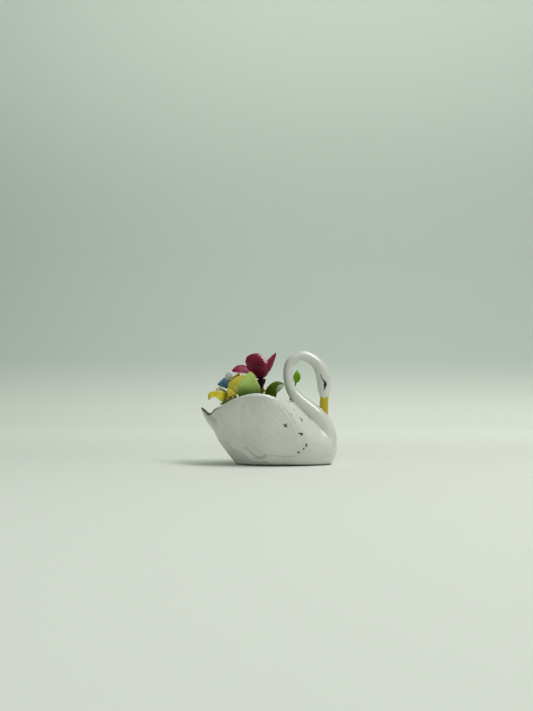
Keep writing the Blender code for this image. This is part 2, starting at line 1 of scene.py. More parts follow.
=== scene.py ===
"""Looks of a small glazed china swan with a posy of hand-made flowers in its open back.

Drawn places are in millimetres on the finished figure: the swan faces +X, its left side is +Y, +Z is up.
"""

import math

import bpy
import numpy as np
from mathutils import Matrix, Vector, kdtree


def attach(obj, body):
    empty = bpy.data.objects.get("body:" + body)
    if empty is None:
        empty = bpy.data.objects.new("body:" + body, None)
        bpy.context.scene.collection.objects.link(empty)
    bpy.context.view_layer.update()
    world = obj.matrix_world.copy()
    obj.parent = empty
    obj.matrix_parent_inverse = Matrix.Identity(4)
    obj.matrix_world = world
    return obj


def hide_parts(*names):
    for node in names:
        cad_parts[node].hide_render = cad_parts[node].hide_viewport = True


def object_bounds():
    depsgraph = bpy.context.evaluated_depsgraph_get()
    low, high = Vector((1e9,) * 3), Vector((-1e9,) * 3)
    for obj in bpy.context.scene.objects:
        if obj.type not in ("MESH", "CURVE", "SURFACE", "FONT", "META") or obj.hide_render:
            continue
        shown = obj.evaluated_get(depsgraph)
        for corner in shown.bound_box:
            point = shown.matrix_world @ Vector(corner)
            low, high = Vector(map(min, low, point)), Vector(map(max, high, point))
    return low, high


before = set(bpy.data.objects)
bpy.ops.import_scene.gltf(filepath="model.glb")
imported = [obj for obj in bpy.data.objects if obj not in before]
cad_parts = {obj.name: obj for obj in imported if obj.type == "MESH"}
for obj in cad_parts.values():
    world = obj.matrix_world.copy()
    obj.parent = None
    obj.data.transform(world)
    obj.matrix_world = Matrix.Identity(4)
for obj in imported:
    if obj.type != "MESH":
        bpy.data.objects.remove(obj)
CAD_BOUNDS = [list(corner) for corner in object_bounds()]

bl_info = {
    "name": "Swan Posy Figurine",
    "version": (1, 0, 0),
    "blender": (4, 5, 0),
    "location": "3D View > Sidebar > Posy",
    "description": "Glazes the swan, shapes its flowers and leaves, and sets the studio",
    "category": "Object",
}

MM = 0.001
FAR = 1e6

# The picture: its size and the place of the frame's origin in pixels, and the middle of the swan in metres
PICTURE_SIZE = (533, 711)
ORIGIN_PIXEL = (283, 464)
MM_PER_PIXEL = 0.56
SWAN_MIDDLE = -0.008
SENSOR_WIDTH = 36.0

# The swan's hull: how far it reaches forward and back at each height, where it is widest, and half its width
FRONT = [(0, 26.2), (1.2, 27.4), (4, 28.8), (9.0, 29.9), (12, 28.4), (15, 25.4), (20, 20.4), (25, 15.8),
         (30, 11.2), (35.7, 5.2), (40, 0.5)]
REAR = [(0, -26.0), (6.7, -31.4), (13.4, -36.3), (18.5, -38.8), (23.5, -42.4), (27, -44.4), (31.1, -45.9),
        (40, -49.5)]
WIDEST = [(0, -3.0), (20, -8.0), (40, -12.0)]
HALF_WIDTH = [(0, 12.2), (1.2, 13.6), (6, 16.8), (14, 19.3), (24, 20.3), (32, 20.5), (40, 20.2)]
RIM = [(-45.8, 32.4), (-43.2, 30.3), (-41.2, 28.5), (-40.0, 28.6), (-38.4, 30.6), (-34.9, 32.4),
       (-26.4, 36.7), (-14.9, 39.2), (-9.8, 38.6), (-2.9, 36.6), (2.8, 35.6), (5.2, 35.4)]
WALL = 2.6
TAIL_WALL = 4.5
LIP_ROUND = 0.9
HOLLOW_UNDER_BED = 2.2
HOLLOW_FRONT = 11.0
FRONT_FULLNESS = 2.2
REAR_TAPER = 1.9
REAR_BLUNTNESS = 0.72

# The raised wing in the side view, and the short feathers that cover the roots of the long ones
WING_RIM = [(3.4, 35.6), (-2.9, 36.6), (-9.8, 38.6), (-14.9, 39.2), (-26.4, 36.6), (-34.9, 32.3),
            (-39.0, 29.9)]
WING_LEADING = [(3.4, 35.6), (6.0, 30.1), (10.4, 23.8), (14.2, 16.5), (15.9, 11.2)]
WING_LOWER = [(-39.0, 29.9), (-37.5, 24.8), (-35.2, 20.0), (-30.1, 16.2), (-23.7, 12.9), (-15.9, 9.5),
              (-10.9, 6.8), (-4.7, 5.3), (3.1, 4.8), (10.1, 6.1), (14.3, 8.5)]
WING_WRIST = [(15.9, 11.2), (15.6, 9.7), (14.3, 8.5)]
COVERT_EDGE = [(10.4, 22.2), (4.2, 20.7), (-2.2, 20.9), (-8.4, 20.0), (-12.4, 16.1), (-13.2, 10.2),
               (-11.9, 5.2)]

# A soft crease down the wing, and the two rolled feathers along its leading edge
SOFT_CREASE = [(-22.5, 33.0), (-23.4, 26.0), (-22.6, 19.0)]
LEADING_RIDGES = [
    [(-5.5, 35.2), (0.5, 28.6), (4.6, 21.6), (6.4, 17.6)],
    [(-1.4, 34.0), (3.6, 27.6), (7.6, 21.4)],
]

# The tucked feather tips under the wing: the valley that parts them from it, and their own ridges
FOLD_VALLEY = [(-20.8, 9.9), (-18.6, 7.9), (-16.2, 5.4), (-13.8, 4.3), (-11.6, 4.7), (-10.2, 5.6)]
FOLD_RIDGES = [
    [(-28.6, 11.0), (-25.4, 9.4), (-21.8, 7.4), (-19.0, 5.2), (-16.6, 3.4)],
    [(-15.6, 3.3), (-13.4, 2.9), (-11.4, 3.6), (-9.4, 3.4), (-7.6, 2.6)],
]

# Neck, head and bill as swept rounds: forward, up, half depth, half width
NECK = [(21.0, 5.0, 6.2, 7.6), (24.2, 11.5, 5.6, 6.4), (24.9, 16.8, 4.7, 5.3), (20.0, 25.9, 4.8, 4.9),
        (14.9, 31.4, 3.95, 4.3), (9.2, 36.1, 3.5, 3.7), (4.9, 41.2, 3.0, 3.1), (2.95, 46.4, 2.6, 2.8),
        (2.6, 51.2, 2.55, 2.7), (4.5, 57.0, 2.85, 2.8), (11.0, 60.5, 2.9, 2.9), (17.1, 58.1, 3.15, 3.1),
        (21.1, 53.2, 3.75, 3.4), (22.9, 47.2, 4.1, 3.5), (23.0, 42.0, 3.6, 3.2), (23.1, 38.8, 2.9, 2.7),
        (23.1, 37.6, 2.65, 2.45), (23.1, 37.1, 1.4, 1.3)]
BILL = [(23.1, 40.4, 1.2, 1.1), (23.1, 39.2, 2.2, 2.1), (23.1, 36.4, 2.35, 2.2), (22.9, 33.6, 2.45, 2.15),
        (23.7, 29.9, 1.6, 1.8), (24.6, 27.5, 0.7, 1.1)]

BED_CROWN = (-14.0, 35.0)
BED_FALL = (9.5 / 25.0**2, 3.0 / 18.0**2)
SEAT_GAP = 0.3
PETAL_THICKNESS = 0.75
LEAF_THICKNESS = 0.85
BUTTON_RADIUS = 1.7
CALYX_RADIUS = 1.6

# Painted marks in the side view: forward, up, half width of the brush stroke
EYE_STROKE = [(20.8, 50.3, 0.13), (21.3, 48.7, 0.20), (22.0, 47.4, 0.28), (22.9, 46.2, 0.44),
              (23.4, 45.1, 0.76), (23.3, 44.1, 0.90), (23.3, 43.1, 0.50), (23.0, 42.0, 0.34),
              (22.4, 41.2, 0.16)]
EYE_LASHES = [
    [(23.6, 45.2, 0.42), (24.4, 46.0, 0.09)],
    [(23.6, 44.2, 0.44), (24.6, 44.4, 0.09)],
]
GILT_MARKS = [
    [(0.2, 23.2, 0.34), (0.9, 22.5, 0.55), (1.7, 21.8, 0.38)],
    [(0.3, 21.8, 0.34), (1.0, 22.5, 0.55), (1.6, 23.2, 0.36)],
    [(9.8, 17.7, 0.80), (8.9, 18.2, 0.40), (7.8, 18.0, 0.18)],
    [(10.1, 24.8, 0.44), (9.7, 25.8, 0.22), (8.9, 26.7, 0.12)],
    [(12.4, 12.0, 0.52), (12.2, 11.0, 0.40)],
    [(11.0, 9.8, 0.50), (10.8, 9.5, 0.42)],
    [(8.2, 7.8, 0.60), (7.8, 8.0, 0.45)],
]
FAINT_MARKS = [
    [(6.0, 30.8, 0.36), (5.6, 30.3, 0.30)],
    [(4.8, 27.9, 0.34), (4.2, 28.3, 0.22)],
    [(-2.0, 33.8, 0.26), (-2.4, 33.4, 0.22)],
    [(-0.1, 31.4, 0.24), (-0.6, 31.0, 0.20)],
    [(3.7, 29.1, 0.22), (3.2, 28.6, 0.20)],
]
TAIL_STROKES = [
    [(-44.4, 29.4, 0.22), (-42.1, 26.6, 0.30), (-40.2, 24.6, 0.16)],
    [(-42.9, 28.8, 0.20), (-40.6, 26.0, 0.30), (-38.4, 23.1, 0.16)],
    [(-41.4, 27.6, 0.22), (-39.6, 25.3, 0.32), (-37.2, 21.9, 0.16)],
    [(-39.9, 27.5, 0.20), (-38.3, 25.3, 0.26), (-36.5, 22.8, 0.12)],
    [(-38.5, 26.9, 0.18), (-37.3, 24.8, 0.24), (-36.0, 21.0, 0.10)],
]

# Outlines of petals and leaves: share of the length, share of the half width
ROUND_PETAL = [(0.0, 0.14), (0.25, 0.62), (0.6, 1.0), (0.85, 0.86), (1.0, 0.45)]
BROAD_PETAL = [(0.0, 0.14), (0.25, 0.62), (0.6, 1.0), (0.85, 0.95), (1.0, 0.62)]
CURLING_PETAL = [(0.0, 0.35), (0.3, 1.0), (0.6, 0.62), (0.85, 0.48), (1.0, 0.2)]
FAN_PETAL = [(0.0, 0.5), (0.35, 1.0), (0.65, 0.8), (1.0, 0.16)]
BLADE_PETAL = [(0.0, 0.22), (0.3, 0.85), (0.5, 1.0), (0.8, 0.62), (1.0, 0.12)]
LEAF = [(0.0, 0.22), (0.25, 0.88), (0.42, 1.0), (0.75, 0.62), (1.0, 0.1)]
OPEN_ARCH = [(0.0, 0.8), (0.25, 1.12), (0.55, 1.02), (0.8, 0.9), (1.0, 0.5)]
SLENDER_LEAF = [(0.0, 0.3), (0.45, 0.16), (0.6, 0.2), (0.65, 0.7), (0.8, 1.15), (1.0, 0.25)]
WEDGE_PETAL = [(0.0, 0.9), (0.35, 1.0), (0.65, 0.62), (1.0, 0.12)]
BROAD_LEAF = [(0.0, 0.25), (0.3, 0.98), (0.42, 0.97), (0.72, 0.64), (0.9, 0.36), (1.0, 0.1)]


def colour_setting(name, description, default):
    return bpy.props.FloatVectorProperty(
        name=name, description=description, default=default, size=3, min=0.0, max=1.0, subtype="COLOR")


def size_setting(name, description, default):
    return bpy.props.FloatProperty(
        name=name, description=description, default=default, min=0.0, unit="LENGTH", subtype="DISTANCE")


def power_setting(name, description, default):
    return bpy.props.FloatProperty(
        name=name, description=description, default=default, min=0.0, unit="POWER")


class SwanSettings(bpy.types.PropertyGroup):
    """Sizes and colours of the glazed swan"""

    skin_step: size_setting("Skin Step", "Spacing of the swan's surface points", 0.00042)
    feather_depth: size_setting("Feather Depth", "How far each wing feather stands proud", 0.00042)
    wing_step: size_setting("Wing Step", "How far the raised wing stands off the body", 0.0008)
    glaze: colour_setting("Glaze", "Colour of the white glaze", (0.745, 0.765, 0.705))
    # Painted shade in the feather grooves and the fold valley, and a speckled stain on the tail.
    grime_and_shade: colour_setting("Grime", "Colour of the dust held in the grooves", (0.40, 0.39, 0.31))
    # Painted shade: near-black along the foot, standing in for the contact shadow under the body.
    foot: colour_setting("Foot", "Stained clay at the unglazed foot", (0.05, 0.06, 0.045))
    bill: colour_setting("Bill", "Yellow paint of the bill", (0.62, 0.51, 0.015))
    bill_shade: colour_setting("Bill Shade", "Ochre where the bill's paint lies thick", (0.50, 0.37, 0.008))
    eye: colour_setting("Eye", "Black paint of the eye", (0.012, 0.012, 0.013))
    gilt: colour_setting("Gilt", "Worn gilding on wing and tail", (0.10, 0.072, 0.02))


class PosySettings(bpy.types.PropertyGroup):
    """Colours of the flowers and leaves"""

    magenta: colour_setting("Magenta", "Petals of the tall flower", (0.20, 0.001, 0.03))
    magenta_light: colour_setting("Light Magenta", "Thin paint on the tall flower's edges", (0.42, 0.05, 0.13))
    # Painted shade: the calyx is near-black for the shade under the petals.
    purple: colour_setting("Purple", "Calyx of the tall flower", (0.012, 0.004, 0.004))
    yellow: colour_setting("Yellow", "Petals of the yellow flower", (0.66, 0.54, 0.015))
    ochre: colour_setting("Ochre", "Thick paint at petal tips and flower centres", (0.42, 0.25, 0.008))
    blue: colour_setting("Blue", "Petals of the blue flower", (0.008, 0.10, 0.19))
    blue_light: colour_setting("Light Blue", "Thin paint on the blue petals", (0.42, 0.48, 0.45))
    pale: colour_setting("Pale Pink", "Petals of the pale flower", (0.92, 0.84, 0.64))
    pink: colour_setting("Pink", "Petals of the pink flower", (0.62, 0.22, 0.28))
    light_green: colour_setting("Light Green", "The broad matt leaf", (0.47, 0.62, 0.16))
    dark_green: colour_setting("Dark Green", "The arching glossy leaf", (0.10, 0.165, 0.005))
    lime: colour_setting("Lime", "The leaf behind the neck", (0.22, 0.46, 0.008))
    stem: colour_setting("Stem", "Yellow-green of the stem", (0.15, 0.19, 0.008))
    clay: colour_setting("Clay", "Green wash on the clay bed", (0.24, 0.31, 0.13))


class StudioSettings(bpy.types.PropertyGroup):
    """Camera, light and background"""

    camera_distance: size_setting("Camera Distance", "From the swan to the camera", 0.55)
    camera_height: size_setting("Camera Height", "Height of the camera over the floor", 0.0454)
    floor: colour_setting("Floor", "Colour of the floor in front", (0.75, 0.79, 0.72))
    backdrop: colour_setting("Backdrop", "Colour of the wall behind", (0.68, 0.765, 0.69))
    key_power: power_setting("Key Power", "Power of the lamp overhead", 5.7)
    side_power: power_setting("Side Power", "Power of the lamp ahead of the swan", 4.2)
    fill_power: power_setting("Fill Power", "Power of the soft lamp above the camera", 0.95)
    sky: bpy.props.FloatProperty(
        name="Sky", description="Strength of the even light from all round", default=0.11, min=0.0,
        subtype="FACTOR")


# Shader wiring


class Wire:
    """A shader socket that Python's arithmetic works on."""

    def __init__(self, finish, socket):
        self.finish = finish
        self.socket = socket

    def maths(self, operation, *others):
        return self.finish.node("ShaderNodeMath", {"operation": operation}, {
            number: value for number, value in enumerate((self, *others))})

    def __add__(self, other):
        return self.maths("ADD", other)

    __radd__ = __add__

    def __mul__(self, other):
        return self.maths("MULTIPLY", other)

    __rmul__ = __mul__

    def __sub__(self, other):
        return self.maths("SUBTRACT", other)

    def __rsub__(self, other):
        return self.finish.node("ShaderNodeMath", {"operation": "SUBTRACT"}, {0: other, 1: self})

    def __pow__(self, other):
        return self.maths("POWER", other)

    def least(self, other):
        return self.maths("MINIMUM", other)

    def most(self, other):
        return self.maths("MAXIMUM", other)

    def size(self):
        return self.maths("ABSOLUTE")

    def rises(self, low, high):
        """0 below low and 1 above high, with a soft step between; low may be above high."""
        return self.finish.node("ShaderNodeMapRange", {"interpolation_type": "SMOOTHSTEP"}, {
            "Value": self, "From Min": low, "From Max": high})


class Finish:
    """A named material with one Principled shader."""

    def __init__(self, name, **fixed):
        self.material = bpy.data.materials.new(name)
        self.material.use_nodes = True
        self.tree = self.material.node_tree
        self.shader = self.tree.nodes["Principled BSDF"]
        for socket, value in fixed.items():
            self.shader.inputs[socket.replace("_", " ")].default_value = value

    def node(self, kind, settings=None, values=None, output=0):
        made = self.tree.nodes.new(kind)
        for key, value in (settings or {}).items():
            setattr(made, key, value)
        for key, value in (values or {}).items():
            if isinstance(value, Wire):
                self.tree.links.new(value.socket, made.inputs[key])
            else:
                made.inputs[key].default_value = value
        return Wire(self, made.outputs[output])

    def feed(self, **wires):
        for socket, wire in wires.items():
            self.tree.links.new(wire.socket, self.shader.inputs[socket.replace("_", " ")])

    def place(self):
        """Where the surface is, in millimetres."""
        where = self.node("ShaderNodeTexCoord", output="Object")
        return self.node("ShaderNodeVectorMath", {"operation": "SCALE"}, {0: where, "Scale": 1.0 / MM})

    def parts(self, where):
        return [self.node("ShaderNodeSeparateXYZ", None, {0: where}, axis) for axis in range(3)]

    def along(self, name):
        return self.node("ShaderNodeAttribute", {"attribute_name": name}, output="Fac")

    def noise(self, where, scale, detail=3.0, roughness=0.55, stretch=(1.0, 1.0, 1.0)):
        stretched = self.node("ShaderNodeVectorMath", {"operation": "MULTIPLY"}, {0: where, 1: stretch})
        return self.node("ShaderNodeTexNoise", None, {
            "Vector": stretched, "Scale": scale, "Detail": detail, "Roughness": roughness})

    def blend(self, share, first, second):
        def full(colour):
            return colour if isinstance(colour, Wire) else (*colour, 1.0)
        return self.node("ShaderNodeMix", {"data_type": "RGBA"}, {
            0: share, 6: full(first), 7: full(second)}, 2)

    def bump(self, height, distance, strength):
        return self.node("ShaderNodeBump", None, {
            "Height": height, "Distance": distance, "Strength": strength})

    def stroke(self, forward, up, points):
        """Distance, in millimetres, outside a brush stroke through (forward, up, half width) points."""
        nearest = None
        for (x0, z0, r0), (x1, z1, r1) in zip(points, points[1:]):
            run = x1 - x0
            rise = z1 - z0
            length = run * run + rise * rise
            share = ((forward - x0) * (run / length) + (up - z0) * (rise / length)).most(0.0).least(1.0)
            off_x = forward - x0 - share * run
            off_z = up - z0 - share * rise
            away = (off_x * off_x + off_z * off_z) ** 0.5 - (share * (r1 - r0) + r0)
            nearest = away if nearest is None else nearest.least(away)
        return nearest


# Shapes


def unit(vector):
    return np.asarray(vector, float) / np.linalg.norm(vector)


def smooth(knots, at):
    """A smooth curve through (key, value, ...) knots, read at the given keys."""
    knots = np.asarray(knots, float)
    keys = knots[:, 0]
    values = knots[:, 1:]
    steps = np.diff(keys)[:, None]
    slopes = np.diff(values, axis=0) / steps
    tangents = np.vstack([slopes[:1], (slopes[1:] * steps[:-1] + slopes[:-1] * steps[1:])
                          / (steps[1:] + steps[:-1]), slopes[-1:]])
    at = np.asarray(at, float)
    cell = np.clip(np.searchsorted(keys, at) - 1, 0, len(keys) - 2)
    width = np.diff(keys)[cell]
    share = ((np.clip(at, keys[0], keys[-1]) - keys[cell]) / width)[..., None]
    width = width[..., None]
    return (values[cell] * (1 + 2 * share) * (1 - share) ** 2
            + tangents[cell] * width * share * (1 - share) ** 2
            + values[cell + 1] * share**2 * (3 - 2 * share)
            + tangents[cell + 1] * width * share**2 * (share - 1))


def along(points, shares):
    """Places at shares 0 to 1 of a smooth line through points, by chord length."""
    points = np.asarray(points, float)
    chords = np.linalg.norm(np.diff(points, axis=0), axis=1)
    keys = np.concatenate([[0.0], np.cumsum(chords)]) / chords.sum()
    return smooth(np.column_stack([keys, points]), shares)


def soft_step(value, low, high):
    share = np.clip((value - low) / (high - low), 0, 1)
    return share * share * (3 - 2 * share)


def front_at(z):
    return smooth(FRONT, z)[..., 0]


def rear_at(z):
    return smooth(REAR, z)[..., 0]


def widest_at(z):
    return smooth(WIDEST, z)[..., 0]


def half_width_at(z):
    return smooth(HALF_WIDTH, z)[..., 0]


def rim_at(x):
    return smooth(RIM, x)[..., 0]


def steepness(curve, z):
    slope = (curve(z + 0.1) - curve(z - 0.1)) / 0.2
    return np.minimum(np.sqrt(1 + slope**2), 1.9)


def fullness(reach):
    reach = np.clip(reach, -1, 1)
    forward = np.sqrt(1 - np.abs(reach) ** FRONT_FULLNESS)
    aft = (1 - np.abs(reach) ** REAR_TAPER) ** REAR_BLUNTNESS
    return np.where(reach > 0, forward, aft)


def outline(angle, z, inset=0.0):
    """The hull's outline at height z, moved in by a wall. Angle 0 is the breast and pi the tail."""
    front = front_at(z) - inset * steepness(front_at, z)
    front = np.minimum(front, HOLLOW_FRONT) if inset > 0 else front
    rear = rear_at(z) + inset * TAIL_WALL / WALL
    half = half_width_at(z) - inset * steepness(half_width_at, z)
    reach = np.cos(angle)
    middle = widest_at(z)
    x = middle + np.where(reach > 0, front - middle, middle - rear) * reach
    return x, np.sign(np.sin(angle)) * half * fullness(reach)


def side_at(x, z):
    middle = widest_at(z)
    reach = np.where(x > middle, (x - middle) / (front_at(z) - middle),
                     (x - middle) / (middle - rear_at(z)))
    return half_width_at(z) * fullness(np.clip(reach, -0.995, 0.995))


def rim_over(x, y):
    return rim_at(x)


def meet(angle, inset, height_of):
    """Height at which the outline and a surface over it meet."""
    z = np.full_like(angle, 30.0)
    for _ in range(40):
        x, y = outline(angle, z, inset)
        z = 0.5 * z + 0.5 * height_of(x, y)
    return z


def bed_top(x, y):
    off_crown = np.asarray(x) - BED_CROWN[0]
    return BED_CROWN[1] - BED_FALL[0] * off_crown ** 2 - BED_FALL[1] * np.asarray(y) ** 2


def on_bed(x, y):
    return np.array([x, y, bed_top(x, y) + SEAT_GAP])


def skin(rings):
    """Points and faces of a closed solid through rings of equal count, with both ends capped."""
    rings = np.asarray(rings)
    count, around = rings.shape[:2]
    start = np.arange(count - 1)[:, None] * around
    here = np.arange(around)[None, :]
    there = (here + 1) % around
    faces = np.stack([start + here, start + there, start + around + there, start + around + here], axis=-1)
    faces = [tuple(face) for face in faces.reshape(-1, 4).tolist()]
    faces.append(tuple(reversed(range(around))))
    faces.append(tuple((count - 1) * around + j for j in range(around)))
    return rings.reshape(-1, 3), faces


def outward(points, faces):
    """The same solid with its faces turned to point out."""
    volume = 0.0
    for face in faces:
        corners = points[list(face)]
        volume += sum(np.dot(corners[0], np.cross(corners[i], corners[i + 1]))
                      for i in range(1, len(face) - 1))
    return faces if volume > 0 else [tuple(reversed(face)) for face in faces]


def merged(solids):
    points = []
    faces = []
    count = 0
    for some_points, some_faces in solids:
        some_faces = outward(some_points, some_faces)
        points.append(some_points)
        faces += [tuple(corner + count for corner in face) for face in some_faces]
        count += len(some_points)
    return np.concatenate(points), faces


def piece(name, points, faces, finish, *nodes, slot, marks=None):
    """A piece of the figure, from drawn places, that stands for CAD nodes."""
    low, high = (np.array(corner) / MM for corner in CAD_BOUNDS)
    mesh = bpy.data.meshes.new(name)
    mesh.from_pydata((np.clip(points, low, high) * MM).tolist(), [], faces)
    mesh.validate()
    mesh.shade_smooth()
    for label, values in (marks or {}).items():
        attribute = mesh.attributes.new(label, "FLOAT", "POINT")
        attribute.data.foreach_set("value", np.asarray(values, np.float32).ravel())
    mesh.materials.append(finish.material)
    made = bpy.data.objects.new(name, mesh)
    bpy.context.scene.collection.objects.link(made)
    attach(made, "root")
    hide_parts(*nodes)
    return made


# The swan


def hull():
    """The hull with its rounded lip and the hollow that holds the clay bed."""
    around = 240
    angle = (np.arange(around) + 0.5) * 2 * math.pi / around
    outer_rim = meet(angle, 0.0, rim_over)
    rings = []
    for share in np.linspace(0, 1, 64) ** 1.2:
        z = (outer_rim - LIP_ROUND) * share
        rings.append(np.column_stack([*outline(angle, z), z]))
    for turn in np.linspace(0.15, math.pi - 0.15, 9):
        inset = WALL * (0.5 - 0.5 * math.cos(turn))
        rim = meet(angle, inset, rim_over) - LIP_ROUND * (1 - math.sin(turn))
        rings.append(np.column_stack([*outline(angle, rim, inset), rim]))
    inner_rim = meet(angle, WALL, rim_over) - LIP_ROUND
    edge = np.minimum(meet(angle, WALL, bed_top), inner_rim) - HOLLOW_UNDER_BED
    for share in (0.25, 0.6, 1.0):
        z = inner_rim + (edge - inner_rim) * share
        rings.append(np.column_stack([*outline(angle, z, WALL), z]))
    rim_x, rim_y = outline(angle, edge, WALL)
    for share in (0.8, 0.5, 0.25, 0.05):
        x = BED_CROWN[0] + (rim_x - BED_CROWN[0]) * share
        y = rim_y * share
        rings.append(np.column_stack([x, y, bed_top(x, y) - HOLLOW_UNDER_BED]))
    return skin(rings)


def sweep(stations, count, around):
    """A solid of oval rings along stations of forward, up, half depth and half width."""
    line = along(np.array(stations), np.linspace(0, 1, count))
    forward = np.gradient(line[:, :2], axis=0)
    forward /= np.linalg.norm(forward, axis=1, keepdims=True)
    rings = []
    for angle in np.arange(around) * 2 * math.pi / around:
        reach = line[:, 2] * math.cos(angle)
        rings.append(np.column_stack([line[:, 0] - forward[:, 1] * reach, line[:, 3] * math.sin(angle),
                                      line[:, 1] + forward[:, 0] * reach]))
    return skin(np.stack(rings, axis=1))


def outside_sweep(stations, points):
    """How far each point is outside a swept round, in millimetres."""
    line = along(np.array(stations), np.linspace(0, 1, 200))
    nearest = np.full(len(points), FAR)
    for x, z, deep, wide in line:
        radius = 0.5 * (deep + wide)
        away = np.sqrt((points[:, 0] - x) ** 2 + (points[:, 1] * radius / wide) ** 2
                       + (points[:, 2] - z) ** 2)
        nearest = np.minimum(nearest, away - deep)
    return nearest


def even_skin(points, faces, step):
    """One closed surface around overlapping solids, with points at an even spacing."""
    mesh = bpy.data.meshes.new("rough_skin")
    mesh.from_pydata(points.tolist(), [], faces)
    rough = bpy.data.objects.new("rough_skin", mesh)
    bpy.context.scene.collection.objects.link(rough)
    remesh = rough.modifiers.new("even_skin", "REMESH")
    remesh.mode = "VOXEL"
    remesh.voxel_size = step
    remesh.adaptivity = 0.0
    result = bpy.data.meshes.new_from_object(rough.evaluated_get(bpy.context.evaluated_depsgraph_get()))
    bpy.data.objects.remove(rough)
    bpy.data.meshes.remove(mesh)
    return result


def mesh_arrays(mesh):
    points = np.empty(len(mesh.vertices) * 3)
    mesh.vertices.foreach_get("co", points)
    edges = np.empty(len(mesh.edges) * 2, int)
    mesh.edges.foreach_get("vertices", edges)
    faces = [tuple(polygon.vertices) for polygon in mesh.polygons]
    return points.reshape(-1, 3), edges.reshape(-1, 2), faces


def relaxed(points, edges, weight, rounds, shares=(0.55, -0.57)):
    """Evens out the surface where weight is high. The second share undoes the shrinking of the first."""
    count = np.bincount(edges.ravel(), minlength=len(points))[:, None]
    for turn in range(rounds * 2):
        total = np.zeros_like(points)
        for axis in range(3):
            total[:, axis] = (np.bincount(edges[:, 0], points[edges[:, 1], axis], len(points))
                              + np.bincount(edges[:, 1], points[edges[:, 0], axis], len(points)))
        share = shares[turn % 2]
        points = points + share * weight[:, None] * (total / count - points)
    return points


def normals_of(points, faces):
    quads = np.array([face if len(face) == 4 else (*face, face[-1]) for face in faces])
    across = np.cross(points[quads[:, 2]] - points[quads[:, 0]], points[quads[:, 3]] - points[quads[:, 1]])
    normal = np.zeros_like(points)
    for corner in range(4):
        for axis in range(3):
            normal[:, axis] += np.bincount(quads[:, corner], across[:, axis], len(points))
    return normal / np.maximum(np.linalg.norm(normal, axis=1, keepdims=True), 1e-12)


def wing_side_view(s, t):
    """Place in the side view: s runs from the rim to the wrist, t from the leading to the lower edge."""
    lead = along(WING_LEADING, s)
    low = along(WING_LOWER, s)
    rim = along(WING_RIM, t)
    wrist = along(WING_WRIST, t)
    s = s[..., None]
    t = t[..., None]
    corners = ((1 - s) * (1 - t) * np.array(WING_RIM[0]) + (1 - s) * t * np.array(WING_RIM[-1])
               + s * (1 - t) * np.array(WING_WRIST[0]) + s * t * np.array(WING_WRIST[-1]))
    return (1 - t) * lead + t * low + (1 - s) * rim + s * wrist - corners


def wing_shares(view):
    """The wing's s and t at places in the side view."""
    shares = np.linspace(0, 1, 70)
    s, t = (grid.ravel() for grid in np.meshgrid(shares, shares, indexing="ij"))
    tree = kdtree.KDTree(len(s))
    for number, (x, z) in enumerate(wing_side_view(s, t)):
        tree.insert((x, z, 0.0), number)
    tree.balance()
    start = np.array([tree.find((x, z, 0.0))[1] for x, z in view])
    s = s[start]
    t = t[start]
    step = 1e-3
    for _ in range(6):
        here = wing_side_view(s, t)
        by_s = (wing_side_view(s + step, t) - here) / step
        by_t = (wing_side_view(s, t + step) - here) / step
        miss = view - here
        area = by_s[:, 0] * by_t[:, 1] - by_s[:, 1] * by_t[:, 0]
        area = np.where(np.abs(area) < 1.0, 1.0, area)
        s = np.clip(s + 0.8 * (miss[:, 0] * by_t[:, 1] - miss[:, 1] * by_t[:, 0]) / area, 0, 1 - step)
        t = np.clip(t + 0.8 * (by_s[:, 0] * miss[:, 1] - by_s[:, 1] * miss[:, 0]) / area, 0, 1 - step)
    return s, t


def distance_to_line(view, line):
    """Distance in the side view from a smooth line, and which side of it: positive on the left as it runs."""
    line = along(line, np.linspace(0, 1, 60))
    nearest = np.full(len(view), FAR)
    side = np.zeros(len(view))
    for start, end in zip(line[:-1], line[1:]):
        run = end - start
        off = view - start
        share = np.clip(off @ run / (run @ run), 0, 1)
        away = np.linalg.norm(off - share[:, None] * run, axis=1)
        closer = away < nearest
        nearest = np.where(closer, away, nearest)
        side = np.where(closer, run[0] * off[:, 1] - run[1] * off[:, 0], side)
    return nearest, np.sign(side)


def feathers(s, t, count):
    """Height of the long feathers, 0 to 1: each one rises softly and ends in a step."""
    bend = t + 0.012 * np.sin(9 * s) + 0.006 * np.sin(23 * t + 5 * s)
    within = (bend * count) % 1.0
    number = np.floor(bend * count)
    strength = 0.72 + 0.28 * np.sin(2.4 * number + 1.0)
    shingle = soft_step(within, 0.0, 0.3) * (1 - 0.8 * soft_step(within, 0.35, 1.0))
    reach = 0.58 + 0.36 * t + 0.06 * np.sin(3.7 * number)
    fade = soft_step(s, 0.02, 0.14) * (1 - soft_step(s, reach - 0.34, reach))
    return shingle * fade * strength


